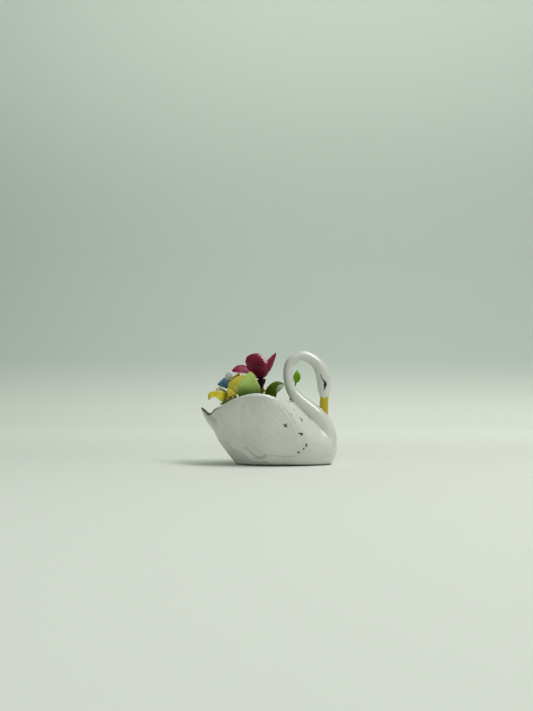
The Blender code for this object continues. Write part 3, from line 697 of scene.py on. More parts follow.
def swan_relief(points, normals, settings):
    """How far each point of the swan is raised, in millimetres, and how deep it lies in a groove, where the glaze
    is later darkened as painted shade.
    """
    x = points[:, 0]
    z = points[:, 2]
    depth = settings.feather_depth / MM
    step = settings.wing_step / MM
    off_hull = np.abs(np.abs(points[:, 1]) - side_at(x, z))
    facing = normals[:, 1] * np.sign(points[:, 1])
    on_side = (facing > 0.05) & (off_hull < 1.5) & (z < 40.5)
    view = np.column_stack([x, z])[on_side]
    faces_out = soft_step(facing[on_side], 0.05, 0.3)

    s, t = wing_shares(view)
    miss = np.linalg.norm(wing_side_view(s, t) - view, axis=1)
    inside = 1 - soft_step(miss, 0.25, 0.6)
    from_lead, _ = distance_to_line(view, WING_LEADING)
    from_low, _ = distance_to_line(view, WING_LOWER)
    from_wrist, _ = distance_to_line(view, WING_WRIST)
    plate = (soft_step(from_lead, 0.0, 2.6) * soft_step(np.minimum(from_low, from_wrist), 0.0, 2.4))
    rolled = 0.4 * np.exp(-((from_low - 1.4) / 0.8) ** 2) * soft_step(view[:, 0], -24.0, -6.0)
    step = step * (0.25 + 0.75 * soft_step(view[:, 0], -32.0, -10.0))
    long_feathers = feathers(s, t, 14)

    from_covert, side = distance_to_line(view, COVERT_EDGE)
    covert = soft_step(from_covert * -side, -0.3, 0.3)
    arcs = np.linalg.norm(view - np.array([15.0, 9.5]), axis=1) / 2.1
    arc_steps = soft_step(arcs % 1.0, 0.0, 0.2) * (1 - 0.8 * soft_step(arcs % 1.0, 0.3, 1.0))
    short_feathers = covert * (0.35 + 0.3 * arc_steps) * soft_step(from_lead, 0.5, 3.0)
    feathered = long_feathers * (1 - 0.55 * covert) + 0.5 * short_feathers
    wing = plate * (step + depth * feathered) + rolled * plate

    crease, _ = distance_to_line(view, SOFT_CREASE)
    wing = wing - 0.22 * np.exp(-(crease / 1.5) ** 2)
    below_rim = soft_step(rim_at(view[:, 0]) - view[:, 1], 0.8, 4.0)
    for ridge in LEADING_RIDGES:
        away, _ = distance_to_line(view, ridge)
        wing = wing + 0.2 * np.exp(-(away / 0.5) ** 2) * below_rim

    valley, _ = distance_to_line(view, FOLD_VALLEY)
    fold = -0.85 * np.exp(-(valley / 0.7) ** 2)
    for ridge in FOLD_RIDGES:
        away, _ = distance_to_line(view, ridge)
        fold = fold + 0.5 * np.exp(-(away / 1.0) ** 2)
    fold *= soft_step(view[:, 1], 0.3, 1.6)

    relief = np.zeros(len(points))
    relief[on_side] = faces_out * (wing * inside + fold)
    relief = np.clip(relief, -1.0, 1.6) * soft_step(x - rear_at(z), 0.6, 4.0)
    # The groove depth marks the dips between feathers and the fold valley, where the glaze is darkened as painted
    # shade.
    groove = np.zeros(len(points))
    dips = (1 - long_feathers) * plate * inside * 0.3 + 1.3 * np.exp(-(valley / 0.55) ** 2)
    groove[on_side] = faces_out * np.clip(dips, 0, 1)
    return relief, groove


def swan_finish(settings):
    finish = Finish("white_glaze", Specular_IOR_Level=0.5, IOR=1.5, Coat_Roughness=0.08)
    where = finish.place()
    forward, aside, up = finish.parts(where)
    cloud = finish.noise(where, 0.05, 3.0)
    speck = finish.noise(where, 1.6, 2.0)
    colour = finish.blend(cloud.rises(0.35, 0.7), settings.glaze, [0.94 * c for c in settings.glaze])
    # Painted shade: the glaze darkens in the feather grooves and the fold valley; on the tail the same colour is
    # a speckled stain.
    groove = finish.along("groove")
    worn_tail = forward.rises(-33.0, -42.0) * up.rises(12.0, 22.0)
    dust_and_shade = groove * cloud.rises(0.25, 0.7) * 0.6 + worn_tail * (speck.rises(0.4, 0.66) * 0.5 + 0.12)
    colour = finish.blend(dust_and_shade.least(1.0), colour, settings.grime_and_shade)
    ragged = finish.noise(where, 1.1, 3.0) - 0.5
    # Painted contact shadow: the glaze turns near-black over the bottom 1.5 mm.
    foot = (up + ragged * 1.2 + forward.size() * 0.015).rises(1.5, 0.5) * 0.9
    colour = finish.blend(foot, colour, settings.foot)
    gilt_edge = finish.stroke(forward, up, [(-45.8, 31.6, 0.55), (-43.2, 29.7, 0.65), (-41.2, 28.1, 0.75),
                                            (-39.8, 28.4, 0.45), (-37.8, 30.5, 0.25), (-35.6, 31.9, 0.12)])
    marks = gilt_edge
    for points in GILT_MARKS:
        marks = marks.least(finish.stroke(forward, up, points))
    faint = None
    for points in FAINT_MARKS + TAIL_STROKES:
        away = finish.stroke(forward, up, points)
        faint = away if faint is None else faint.least(away)
    gilt = (marks + ragged * 0.5).rises(0.12, -0.12)
    gilt = gilt.most((faint + ragged * 0.8).rises(0.2, -0.2) * 0.45) * aside.size().rises(0.4, 1.5)
    colour = finish.blend(gilt, colour, settings.gilt)

    bill = finish.along("bill")
    wavy = finish.noise(where, 0.9, 2.0) - 0.5
    bill = (bill + wavy * 0.35).rises(-0.07, 0.07)
    thick = finish.noise(where, 0.42, 4.0, 0.6, (1.0, 1.0, 0.5)).rises(0.42, 0.72)
    bill_colour = finish.blend(thick, settings.bill, settings.bill_shade)
    colour = finish.blend(bill, colour, bill_colour)

    eye = finish.stroke(forward, up, EYE_STROKE)
    for lash in EYE_LASHES:
        eye = eye.least(finish.stroke(forward, up, lash))
    eye = (eye + ragged * 0.12).rises(0.07, -0.05) * aside.size().rises(0.8, 1.4)
    colour = finish.blend(eye, colour, settings.eye)

    paint = bill.most(eye)
    roughness = 0.2 + gilt * 0.2 + paint * 0.12 + dust_and_shade.least(1.0) * 0.2 + cloud * 0.05
    pits = finish.noise(where, 0.55, 2.0)
    flow = finish.noise(where, 0.12, 2.0)
    normal = finish.bump(pits * 0.3 + flow, 0.0002, 0.35)
    finish.feed(Base_Color=colour, Roughness=roughness, Normal=normal,
                Coat_Weight=0.9 - paint * 0.85 - gilt * 0.8)
    return finish


def softened(points, edges):
    """The raw skin with its joins blended: the neck's root, the breast and the lip of the open back."""
    points = relaxed(points, edges, np.ones(len(points)), 4)
    forward, aside, up = points.T
    off_neck = np.abs(outside_sweep(NECK, points))
    off_hull = np.abs(np.abs(aside) - side_at(forward, up))
    crease = np.exp(-(off_neck / 1.6) ** 2) * np.exp(-(off_hull / 2.2) ** 2) * (up < 37)
    breast = soft_step(forward, 11.0, 18.0) * soft_step(-up, -31.0, -19.0) * soft_step(up, 1.0, 5.0)
    lip = soft_step(up - rim_at(forward), -3.0, -1.6) * (off_hull < 6) * (forward < 5) * (off_neck > 1.5)
    points = relaxed(points, edges, np.maximum.reduce([crease, breast, lip]), 30)
    off_centre = 0.06 + 0.94 * soft_step(np.abs(points[:, 1]), 1.5, 3.5)
    points = relaxed(points, edges, breast * off_centre, 30, (0.5, 0.5))
    keel = np.exp(-((points[:, 2] - 12.5) / 3.5) ** 2) * soft_step(points[:, 0], 26.0, 29.5)
    points[:, 0] += 0.5 * keel
    return points


def inside_bill(points):
    """How far inside the bill's paint each point lies, which ends in a jagged line below the eye."""
    off_neck = outside_sweep(NECK[:8], points) - 0.12
    on_bill = 0.9 - outside_sweep(BILL, points)
    top = 37.6 - 0.9 * np.exp(-((points[:, 0] - 22.9) / 0.5) ** 2) + 0.25 * np.sin(points[:, 0] * 4.1)
    return np.minimum.reduce([off_neck, on_bill, top - points[:, 2]])


class POSY_OT_swan(bpy.types.Operator):
    """Shape the swan's body, wings, neck, head and bill as one glazed casting"""

    bl_idname = "posy.swan"
    bl_label = "Glaze Swan"
    bl_options = {"REGISTER", "UNDO"}

    def execute(self, context):
        settings = context.scene.posy_swan
        solids = [hull(), sweep(NECK, 150, 48), sweep(BILL, 40, 32)]
        rough = even_skin(*merged(solids), settings.skin_step / MM)
        points, edges, faces = mesh_arrays(rough)
        bpy.data.meshes.remove(rough)
        points = softened(points, edges)
        normals = normals_of(points, faces)
        relief, groove = swan_relief(points, normals, settings)
        bill = inside_bill(points)
        points = points + normals * relief[:, None]
        piece("glazed_swan", points, faces, swan_finish(settings), "swan_body", slot="glaze",
              marks={"groove": groove, "bill": bill})
        return {"FINISHED"}


# The clay bed


def clay_finish(settings):
    finish = Finish("washed_clay")
    where = finish.place()
    lumps = finish.noise(where, 0.35, 4.0)
    colour = finish.blend(lumps.rises(0.35, 0.7), settings.clay, [0.45 * c for c in settings.clay])
    streaks = finish.noise(where, 0.8, 3.0)
    colour = finish.blend(streaks.rises(0.6, 0.75) * 0.6, colour, (0.60, 0.62, 0.50))
    finish.feed(Base_Color=colour, Roughness=0.3 + lumps * 0.3, Normal=finish.bump(lumps, 0.0006, 0.8))
    return finish


class POSY_OT_clay_bed(bpy.types.Operator):
    """Press the clay bed into the open back"""

    bl_idname = "posy.clay_bed"
    bl_label = "Press Clay Bed"
    bl_options = {"REGISTER", "UNDO"}

    def execute(self, context):
        around = 120
        angle = (np.arange(around) + 0.5) * 2 * math.pi / around
        inset = WALL + 0.05
        edge = meet(angle, inset, bed_top)
        rings = []
        for drop in (2.0, 1.0, 0.3):
            z = edge - drop
            rings.append(np.column_stack([*outline(angle, z, inset), z]))
        rim_x, rim_y = outline(angle, edge, inset)
        for share in np.linspace(0.97, 0.03, 34):
            x = BED_CROWN[0] + (rim_x - BED_CROWN[0]) * share
            y = rim_y * share
            dabs = (np.sin(x * 1.7 + 2.0 * np.sin(y * 0.9)) * np.sin(y * 1.5 + 1.6 * np.sin(x * 0.8))
                    + 0.5 * np.sin(x * 3.1 + 1.0) * np.sin(y * 2.9 + 0.4))
            rings.append(np.column_stack([x, y, bed_top(x, y) + 0.22 * dabs * soft_step(share, 0.98, 0.9)]))
        points, faces = skin(rings)
        finish = clay_finish(context.scene.posy_flowers)
        piece("clay_bed", points, outward(points, faces), finish, "posy_bed", slot="clay")
        return {"FINISHED"}


# Petals, leaves and stems


def sheet(line, across, half_width, cup, shape, thickness=PETAL_THICKNESS, ruffle=0.25, waves=3.0,
          teeth=0.0, tooth_depth=0.0, rounding=0.16, phase=0.0, vein=0.0):
    """A hand-pressed petal or leaf on a midrib line, with soft waves, thin edges and a rounded tip."""
    rows = 34
    columns = 24
    shares = 1 - (1 - np.linspace(0, 1, rows + 1)) ** 1.5
    fine = np.linspace(0, 1, 80)
    curve = along(line, fine)
    turn = np.gradient(curve, axis=0)
    rib = np.stack([np.interp(shares, fine, curve[:, axis]) for axis in range(3)], axis=1)
    forward = np.stack([np.interp(shares, fine, turn[:, axis]) for axis in range(3)], axis=1)
    forward /= np.linalg.norm(forward, axis=1, keepdims=True)
    across = np.asarray(across, float)
    right = across - (forward @ across)[:, None] * forward
    right /= np.linalg.norm(right, axis=1, keepdims=True)
    lift = np.cross(right, forward)
    half = smooth(shape, shares)[:, 0] * half_width
    past = np.clip((shares - (1 - rounding)) / rounding, 0, 1)
    half = half * np.sqrt(np.maximum(1 - past**2, 0.0004))
    over = np.sin(np.linspace(-1, 1, columns + 1) * math.pi / 2)
    u, v = np.meshgrid(over, shares)
    toothed = 1.0
    if teeth:
        toothed = 1 - tooth_depth * ((v * teeth + 0.3 * (u > 0)) % 1.0) * np.abs(u) ** 3 * (v < 0.97)
    edge = np.maximum(np.abs(u) ** 3, soft_step(v, 0.75, 1.0))
    wave = ruffle * edge * np.sin(waves * (u * 1.3 + v * 3.1) + phase) * soft_step(v, 0.1, 0.5)
    crease = -vein * np.exp(-(u / 0.12) ** 2) * (1 - soft_step(v, 0.7, 1.0))
    sides = right[:, None] * (half[:, None] * u * toothed)[..., None]
    grid = rib[:, None] + sides + lift[:, None] * (cup * half[:, None] * u**2 + wave + crease)[..., None]
    down = np.gradient(grid, axis=0)
    side = np.gradient(grid, axis=1)
    normal = np.cross(side, down)
    normal /= np.maximum(np.linalg.norm(normal, axis=-1, keepdims=True), 1e-9)
    thin = 0.5 * thickness * (1 - 0.72 * np.maximum(np.abs(u) ** 6, soft_step(v, 0.9, 1.0)))
    upper = grid - normal * thin[..., None]
    lower = grid + normal * thin[..., None]
    size = u.size
    wide = columns + 1
    faces = []
    for i in range(rows):
        for j in range(columns):
            a = i * wide + j
            faces.append((a, a + 1, a + wide + 1, a + wide))
            faces.append((size + a, size + a + wide, size + a + wide + 1, size + a + 1))
    loop = [j for j in range(columns)] + [i * wide + columns for i in range(rows)]
    loop += [rows * wide + j for j in range(columns, 0, -1)] + [i * wide for i in range(rows, 0, -1)]
    for a, b in zip(loop, loop[1:] + loop[:1]):
        faces.append((b, a, size + a, size + b))
    points = np.concatenate([upper.reshape(-1, 3), lower.reshape(-1, 3)])
    marks = {"tip": np.tile(v.ravel(), 2), "side": np.tile(u.ravel(), 2)}
    return points, outward(points, faces), marks


def turned(foot, direction, stations):
    """A small round piece from its foot along a direction, with stations of length and radius."""
    direction = unit(direction)
    side = unit(np.cross(direction, (0.3, 1.0, 0.2)))
    other = np.cross(direction, side)
    stations = np.asarray(stations, float)
    lengths = np.linspace(stations[0, 0], stations[-1, 0], 26)
    radii = np.maximum(smooth(stations, lengths)[:, 0], 0.05)
    angle = np.arange(24) * 2 * math.pi / 24
    rings = []
    for length, radius in zip(lengths, radii):
        rings.append(foot + direction * length
                     + radius * (np.cos(angle)[:, None] * side + np.sin(angle)[:, None] * other))
    points, faces = skin(rings)
    return points, outward(points, faces)


def bead(centre, radius):
    angle = np.arange(10) * 2 * math.pi / 10
    rings = []
    for level in np.linspace(0.08, math.pi - 0.08, 6):
        rings.append(np.column_stack([centre[0] + radius * math.sin(level) * np.cos(angle),
                                      centre[1] + radius * math.sin(level) * np.sin(angle),
                                      np.full(10, centre[2] - radius * math.cos(level))]))
    points, faces = skin(rings)
    return points, outward(points, faces)


def paint_finish(name, body, light, deep, streak=0.5, root=0.35, tip=0.0, tip_colour=None, roughness=0.2,
                 bare=None, hollow=0.0):
    """Brushed enamel on a petal or leaf: thin at the edges, thick towards the root, streaked along it."""
    finish = Finish(name, IOR=1.5, Specular_IOR_Level=0.22, Coat_Roughness=0.06)
    where = finish.place()
    along_it = finish.along("tip")
    over_it = finish.along("side")
    brush = finish.node("ShaderNodeCombineXYZ", None, {0: over_it * 7.0, 1: along_it * 1.4, 2: 0.0})
    streaks = finish.noise(brush, 1.6, 4.0, 0.65)
    cloud = finish.noise(where, 0.28, 3.0)
    mottle = finish.noise(where, 1.3, 3.0)
    colour = finish.blend(streaks.rises(0.42, 0.68) * streak, body, light)
    colour = finish.blend((1.0 - along_it).rises(1.0 - root, 1.0), colour, deep)
    colour = finish.blend(cloud.rises(0.5, 0.72) * 0.45, colour, deep)
    colour = finish.blend(mottle.rises(0.62, 0.74) * 0.25, colour, light)
    rim = over_it.size().rises(0.86, 1.0).most(along_it.rises(0.93, 1.0))
    colour = finish.blend(rim * (0.25 + 0.6 * cloud), colour, light)
    # Painted shade: the middle of a cupped petal darkens towards the deep colour.
    if hollow:
        middle = (over_it - 0.1).size().rises(0.8, 0.1)
        middle = middle * along_it.rises(0.9, 0.6) * along_it.rises(0.1, 0.4)
        colour = finish.blend(middle * hollow, colour, deep)
    if bare is not None:
        saw = (along_it * 13.0).maths("FRACT") * 0.1
        fringe = (over_it * 0.6 + along_it - saw).rises(1.1, 1.14)
        colour = finish.blend(fringe * (0.55 + 0.6 * cloud).least(1.0), colour, bare)
    if tip_colour is not None:
        colour = finish.blend(along_it.rises(1.0 - tip, 1.0) * (0.5 + 0.5 * streaks), colour, tip_colour)
    midrib = over_it.size().rises(0.07, 0.0)
    height = streaks * 0.5 + mottle * 0.2 - midrib * 0.15
    finish.feed(Base_Color=colour, Roughness=roughness + streaks * 0.15,
                Normal=finish.bump(height, 0.0003, 0.6), Coat_Weight=0.12 - cloud * 0.1)
    return finish


def leaf_finish(name, body, light, deep, roughness=0.3, wash=0.4, lines_share=0.22, root=(0.0, 0.3),
                lit_curl=None):
    """A painted leaf: pale midrib, side veins that sweep to the tip, an uneven wash of green, and painted shade
    towards the root.
    """
    veins = 5.0
    finish = Finish(name, IOR=1.5, Specular_IOR_Level=0.2, Coat_Roughness=0.1)
    where = finish.place()
    along_it = finish.along("tip")
    over_it = finish.along("side")
    sweep_up = (along_it - over_it.size() * 0.22) * veins
    ribs = (sweep_up.maths("FRACT") - 0.5).size().rises(0.44, 0.5)
    midrib = over_it.size().rises(0.09, 0.02)
    lines = ribs.most(midrib)
    cloud = finish.noise(where, 0.22, 3.0)
    mottle = finish.noise(where, 0.9, 4.0)
    colour = finish.blend(cloud.rises(0.4, 0.7) * wash, body, deep)
    colour = finish.blend(mottle.rises(0.5, 0.75) * 0.3, colour, light)
    colour = finish.blend(lines * lines_share, colour, light)
    edge = over_it.size().rises(0.9, 1.0)
    colour = finish.blend(edge * 0.3, colour, light)
    # Painted shade: the leaf darkens towards its root, low among the flowers, and stays light towards its lit
    # tip.
    colour = finish.blend((along_it + cloud * 0.2).rises(root[1], root[0]), colour, deep)
    # Painted light: the turned-up part of the leaf is paler, as its lit inner face.
    if lit_curl is not None:
        turned_up = (along_it + over_it * 0.3).rises(0.76, 0.82) * over_it.rises(-0.05, 0.1)
        colour = finish.blend(turned_up, colour, lit_curl)
    height = mottle * 0.3 - lines * (2.0 * lines_share)
    finish.feed(Base_Color=colour, Roughness=roughness + mottle * 0.15,
                Normal=finish.bump(height, 0.00025, 0.6))
    return finish


def round_finish(name, body, light, roughness=0.28):
    """Enamel on a stem or flower centre, stippled by the brush."""
    finish = Finish(name, IOR=1.5, Specular_IOR_Level=0.2)
    where = finish.place()
    stipple = finish.noise(where, 1.2, 4.0)
    cloud = finish.noise(where, 0.3, 2.0)
    colour = finish.blend(stipple.rises(0.45, 0.7), body, light)
    finish.feed(Base_Color=colour, Roughness=roughness + cloud * 0.2,
                Normal=finish.bump(stipple, 0.0003, 0.7))
    return finish


def petals(name, centre, shapes, finishes, half_base=BUTTON_RADIUS):
    """Petals around a centre, each from (places after the base, across, half width, cup, shape, extras)."""
    for number, (line, across, half_width, cup, shape, extras) in enumerate(shapes, 1):
        out = unit(np.array(line[0]) - centre)
        base = centre + out * (half_base + 0.1)
        points, faces, marks = sheet([base, *line], across, half_width, cup, shape, phase=number * 1.7,
                                     **extras)
        node = f"{name}_petal_{number}"
        piece(f"{node}_enamel", points, faces, finishes[number - 1], node, slot=name, marks=marks)


def button_centre(name, foot, centre, finish):
    """A flower's centre on its short stalk, with a crown of clay beads."""
    reach = np.linalg.norm(centre - foot)
    direction = unit(centre - foot)
    stem = turned(foot, direction, [
        (0.0, 1.1), (reach * 0.5, 0.92), (reach - BUTTON_RADIUS * 1.1, 0.95),
        (reach - BUTTON_RADIUS * 0.3, 1.5), (reach + BUTTON_RADIUS * 0.4, 1.35),
        (reach + BUTTON_RADIUS * 0.8, 0.4)])
    side = unit(np.cross(direction, (0.3, 1.0, 0.2)))
    other = np.cross(direction, side)
    solids = [stem]
    for ring, (count, radius, height) in enumerate(((7, 1.05, 0.75), (3, 0.45, 1.15))):
        for number in range(count):
            angle = 2 * math.pi * (number + 0.4 * ring) / count
            spot = (foot + direction * (reach + BUTTON_RADIUS * (height - 0.25))
                    + radius * (math.cos(angle) * side + math.sin(angle) * other))
            solids.append(bead(spot, 0.42))
    points, faces = merged(solids)
    piece(f"{name}_centre_beads", points, faces, finish, f"{name}_centre", slot="ochre")


class POSY_OT_magenta_flower(bpy.types.Operator):
    """Shape the tall magenta flower with its stem, calyx and five petals"""

    bl_idname = "posy.magenta_flower"
    bl_label = "Tall Flower"
    bl_options = {"REGISTER", "UNDO"}

    def execute(self, context):
        paint = context.scene.posy_flowers
        calyx_top = np.array([-12.2, -2.0, 47.0])
        axis = unit((-0.12, 0.1, 1.0))
        foot = on_bed(-11.6, -1.8)
        calyx_foot = calyx_top - axis * 4.2
        stem = turned(foot, calyx_foot - foot, [
            (0.0, 1.15), (2.0, 0.98), (5.0, 0.9), (np.linalg.norm(calyx_foot - foot) - 0.15, 1.0)])
        piece("tall_stem", *stem, round_finish("stem_green", paint.stem, [0.4 * c for c in paint.stem]),
              "magenta_stem", slot="stem_green")
        calyx = turned(calyx_foot, axis, [
            (0.0, 0.95), (1.2, 1.15), (2.2, 1.9), (3.4, 2.4), (4.6, 2.2), (5.04, 0.9)])
        # Painted shade: the calyx is near-black for the shade under the petals.
        purple = round_finish("calyx_painted_shade", paint.purple, (0.05, 0.002, 0.01), roughness=0.5)
        piece("tall_calyx", *calyx, purple, "magenta_calyx", slot="purple")
        centre_foot = calyx_top + axis * 1.14
        stalk = turned(centre_foot, axis, [(0.0, 0.8), (1.0, 1.1), (2.0, 1.2), (2.8, 0.7)])
        beads = [bead(centre_foot + axis * 2.4 + 0.75 * np.array([math.cos(a), math.sin(a), 0.15]), 0.38)
                 for a in np.arange(6) * math.pi / 3]
        points, faces = merged([stalk, *beads])
        piece("tall_centre", points, faces, round_finish("stamen_ochre", paint.ochre, paint.yellow),
              "magenta_centre", slot="ochre")
        fringe = {"teeth": 13.0, "tooth_depth": 0.12, "ruffle": 0.35, "waves": 2.6}
        shapes = [
            ([(-13.2, -5.4, 49.8), (-15.0, -8.4, 55.8), (-14.4, -7.4, 61.7)],
             (1.0, -0.1, -0.28), 6.2, -0.16, BROAD_PETAL, fringe),
            ([(-15.2, -1.8, 49.0), (-19.6, -2.6, 51.7), (-24.2, -3.0, 52.9), (-28.4, -2.8, 52.2)],
             (0.0, -0.75, -0.66), 3.2, -0.2, ROUND_PETAL, {"ruffle": 0.3}),
            ([(-10.6, -3.0, 49.8), (-7.2, -2.2, 55.0), (-5.4, -1.6, 59.0), (-4.1, -1.2, 62.3)],
             (-0.5, -0.9, 0.25), 3.7, 0.24, BLADE_PETAL, {"ruffle": 0.2, "vein": 0.25}),
            ([(-14.9, 1.6, 50.0), (-16.9, 5.6, 53.8), (-18.3, 10.2, 56.6)], (-1.0, 0.0, -0.1), 4.0, 0.22,
             ROUND_PETAL, fringe),
            ([(-10.8, 2.2, 49.8), (-10.4, 5.8, 52.6), (-10.8, 10.2, 55.2)], (-1.0, 0.1, 0.1), 2.3, 0.22,
             ROUND_PETAL, {}),
        ]
        deep = [0.3 * c for c in paint.magenta]
        coats = (paint.magenta, paint.magenta_light, deep)
        enamel = paint_finish("magenta_enamel", *coats, streak=0.85, root=0.4, roughness=0.35)
        # The fringed petal's hollow is darkened as painted shade.
        fringed = paint_finish("fringed_magenta", *coats, streak=0.3, root=0.4, roughness=0.35,
                               bare=(0.72, 0.56, 0.52), hollow=0.8)
        petals("magenta", calyx_top, shapes, [fringed] + [enamel] * 4, CALYX_RADIUS)
        return {"FINISHED"}


class POSY_OT_small_flowers(bpy.types.Operator):
    """Shape the yellow, blue, pale and pink flowers"""

    bl_idname = "posy.small_flowers"
    bl_label = "Small Flowers"
    bl_options = {"REGISTER", "UNDO"}

    def execute(self, context):
        paint = context.scene.posy_flowers
        beads = round_finish("bead_ochre", paint.ochre, paint.yellow)

        centre = np.array([-29.6, -1.6, 39.6])
        button_centre("yellow", on_bed(-28.6, -1.0), centre, beads)
        enamel = paint_finish(
            "yellow_enamel", paint.yellow, (0.90, 0.82, 0.12), (0.36, 0.31, 0.008),
            streak=0.6, root=0.35, tip=0.14, tip_colour=paint.ochre, roughness=0.3)
        # Painted light: a paler copy of the yellow enamel for the upturned petal.
        lit_yellow = paint_finish(
            "lit_yellow_enamel", (0.78, 0.68, 0.05), (1.0, 0.95, 0.34), (0.40, 0.35, 0.01),
            streak=0.8, root=0.3, roughness=0.3)
        tipped = paint_finish(
            "tipped_yellow_enamel", (0.66, 0.50, 0.015), (0.80, 0.68, 0.08), (0.30, 0.20, 0.006),
            streak=0.5, root=0.3, tip=0.25, tip_colour=(0.20, 0.075, 0.01), roughness=0.3)
        # Painted shade: a darker copy of the yellow enamel for the downturned front petal.
        shaded = paint_finish(
            "shaded_yellow_enamel", (0.46, 0.38, 0.006), (0.78, 0.70, 0.09), (0.16, 0.15, 0.003),
            streak=0.5, root=0.6, roughness=0.3)
        petals("yellow", centre, [
            ([(-33.6, -5.4, 38.0), (-37.0, -6.8, 39.1), (-40.0, -7.0, 38.6), (-41.3, -6.8, 36.3)],
             (0.0, -0.3, -0.95), 2.9, -0.1, CURLING_PETAL, {"ruffle": 0.3}),
            ([(-28.8, -4.6, 41.4), (-25.8, -6.4, 45.2), (-21.6, -6.0, 50.0)], (0.75, -0.2, -0.6), 3.0, 0.1,
             FAN_PETAL, {"vein": 0.4}),
            ([(-28.6, 0.8, 43.0), (-26.7, 1.8, 46.6), (-24.5, 2.4, 50.9)], (1.0, 0.2, -0.3), 2.9, 0.15,
             FAN_PETAL, {}),
            ([(-32.6, 1.4, 39.8), (-35.6, 3.2, 39.8), (-38.6, 4.6, 38.8)], (0.0, -1.0, 0.1), 2.9, 0.15,
             ROUND_PETAL, {}),
            ([(-27.6, -4.8, 41.6), (-28.4, -7.6, 40.2), (-30.6, -9.0, 37.4)], (0.8, -0.2, -0.6), 3.4, 0.14,
             FAN_PETAL, {"rounding": 0.3}),
        ], [enamel, lit_yellow, tipped, enamel, shaded])

        centre = np.array([-29.4, 7.0, 45.4])
        button_centre("blue", on_bed(-25.6, 6.4), centre, beads)
        enamel = paint_finish(
            "blue_enamel", paint.blue, paint.blue_light, (0.006, 0.06, 0.12),
            streak=0.35, root=0.2, roughness=0.3)
        # Painted highlight: a pale grey copy of the blue for the petal that catches the light.
        blue_highlight = paint_finish(
            "blue_highlight_enamel", (0.38, 0.44, 0.41), (0.70, 0.74, 0.66), (0.16, 0.26, 0.28),
            streak=0.6, root=0.3, roughness=0.3)
        petals("blue", centre, [
            ([(-31.8, 4.6, 45.4), (-34.2, 3.8, 44.9), (-36.8, 3.6, 44.8)], (0.1, -0.3, -0.95), 3.2, 0.1,
             WEDGE_PETAL, {}),
            ([(-30.2, 5.6, 47.2), (-30.0, 5.5, 48.4), (-28.6, 5.8, 49.8)], (1.0, -0.1, 0.2), 3.2, 0.15,
             BROAD_PETAL, {}),
            ([(-31.4, 9.6, 46.4), (-32.8, 12.0, 47.0), (-33.8, 14.6, 46.8)], (-0.8, -0.6, 0.0), 3.2, 0.2,
             ROUND_PETAL, {}),
            ([(-27.6, 9.4, 46.4), (-26.4, 11.8, 47.2), (-25.6, 14.6, 47.0)], (-0.9, 0.4, 0.0), 3.2, 0.2,
             ROUND_PETAL, {}),
            ([(-26.6, 6.8, 46.2), (-24.4, 6.6, 47.0), (-22.0, 6.6, 47.0)], (0.0, 1.0, 0.0), 2.4, 0.2,
             ROUND_PETAL, {}),
        ], [enamel, blue_highlight, enamel, enamel, enamel])

        centre = np.array([-31.0, 10.6, 39.4])
        button_centre("pale", on_bed(-29.4, 10.0), centre, beads)
        enamel = paint_finish(
            "pale_enamel", paint.pale, (0.84, 0.78, 0.66), (0.60, 0.46, 0.36), streak=0.5, root=0.3)
        petals("pale", centre, [
            ([(-33.0, 8.4, 40.8), (-35.2, 6.6, 41.6), (-37.9, 5.4, 41.9)], (0.25, -0.45, -0.85), 1.6, 0.1,
             ROUND_PETAL, {}),
            ([(-34.0, 11.6, 40.2), (-36.6, 12.4, 40.4), (-38.8, 12.8, 39.6)], (0.2, -1.0, 0.0), 2.7, 0.2,
             ROUND_PETAL, {}),
            ([(-31.2, 13.4, 39.8), (-31.4, 15.8, 40.0), (-31.6, 18.4, 39.2)], (-1.0, 0.0, 0.0), 2.9, 0.2,
             ROUND_PETAL, {}),
            ([(-28.0, 12.2, 39.8), (-26.6, 13.6, 40.4), (-25.2, 15.4, 40.2)], (-0.7, 1.0, 0.0), 2.3, 0.2,
             ROUND_PETAL, {}),
        ], [enamel] * 4)

        middle = np.array([-16.8, 11.2, 40.2])
        button_centre("pink", on_bed(-16.6, 9.4), middle, beads)
        enamel = paint_finish("pink_enamel", paint.pink, (0.74, 0.50, 0.50), [0.6 * c for c in paint.pink],
                              streak=0.6, root=0.35)
        shapes = []
        for turn in range(5):
            angle = math.radians(72 * turn + 18)
            out = np.array([math.cos(angle), 0.85 * math.sin(angle), -0.3 * math.sin(angle)])
            across = np.array([-math.sin(angle), 0.85 * math.cos(angle), -0.3 * math.cos(angle)])
            places = [middle + out * 3.6 + np.array([0.0, 0.7, 1.3]),
                      middle + out * 7.2 + np.array([0.0, 0.9, 1.5])]
            shapes.append((places, across, 2.7, 0.2, ROUND_PETAL, {}))
        petals("pink", middle, shapes, [enamel] * 5)
        return {"FINISHED"}


def leaf(name, foot, line, across, half_width, finish, slot, cup=0.1, shape=LEAF, **extras):
    foot = foot + unit(np.array(line[0]) - foot) * 0.2
    points, faces, marks = sheet([foot, *line], across, half_width, cup, shape, **{
        "thickness": LEAF_THICKNESS, "ruffle": 0.2, "vein": 0.22, "rounding": 0.1, **extras})
    piece(f"{name}_enamel", points, faces, finish, name, slot=slot, marks=marks)


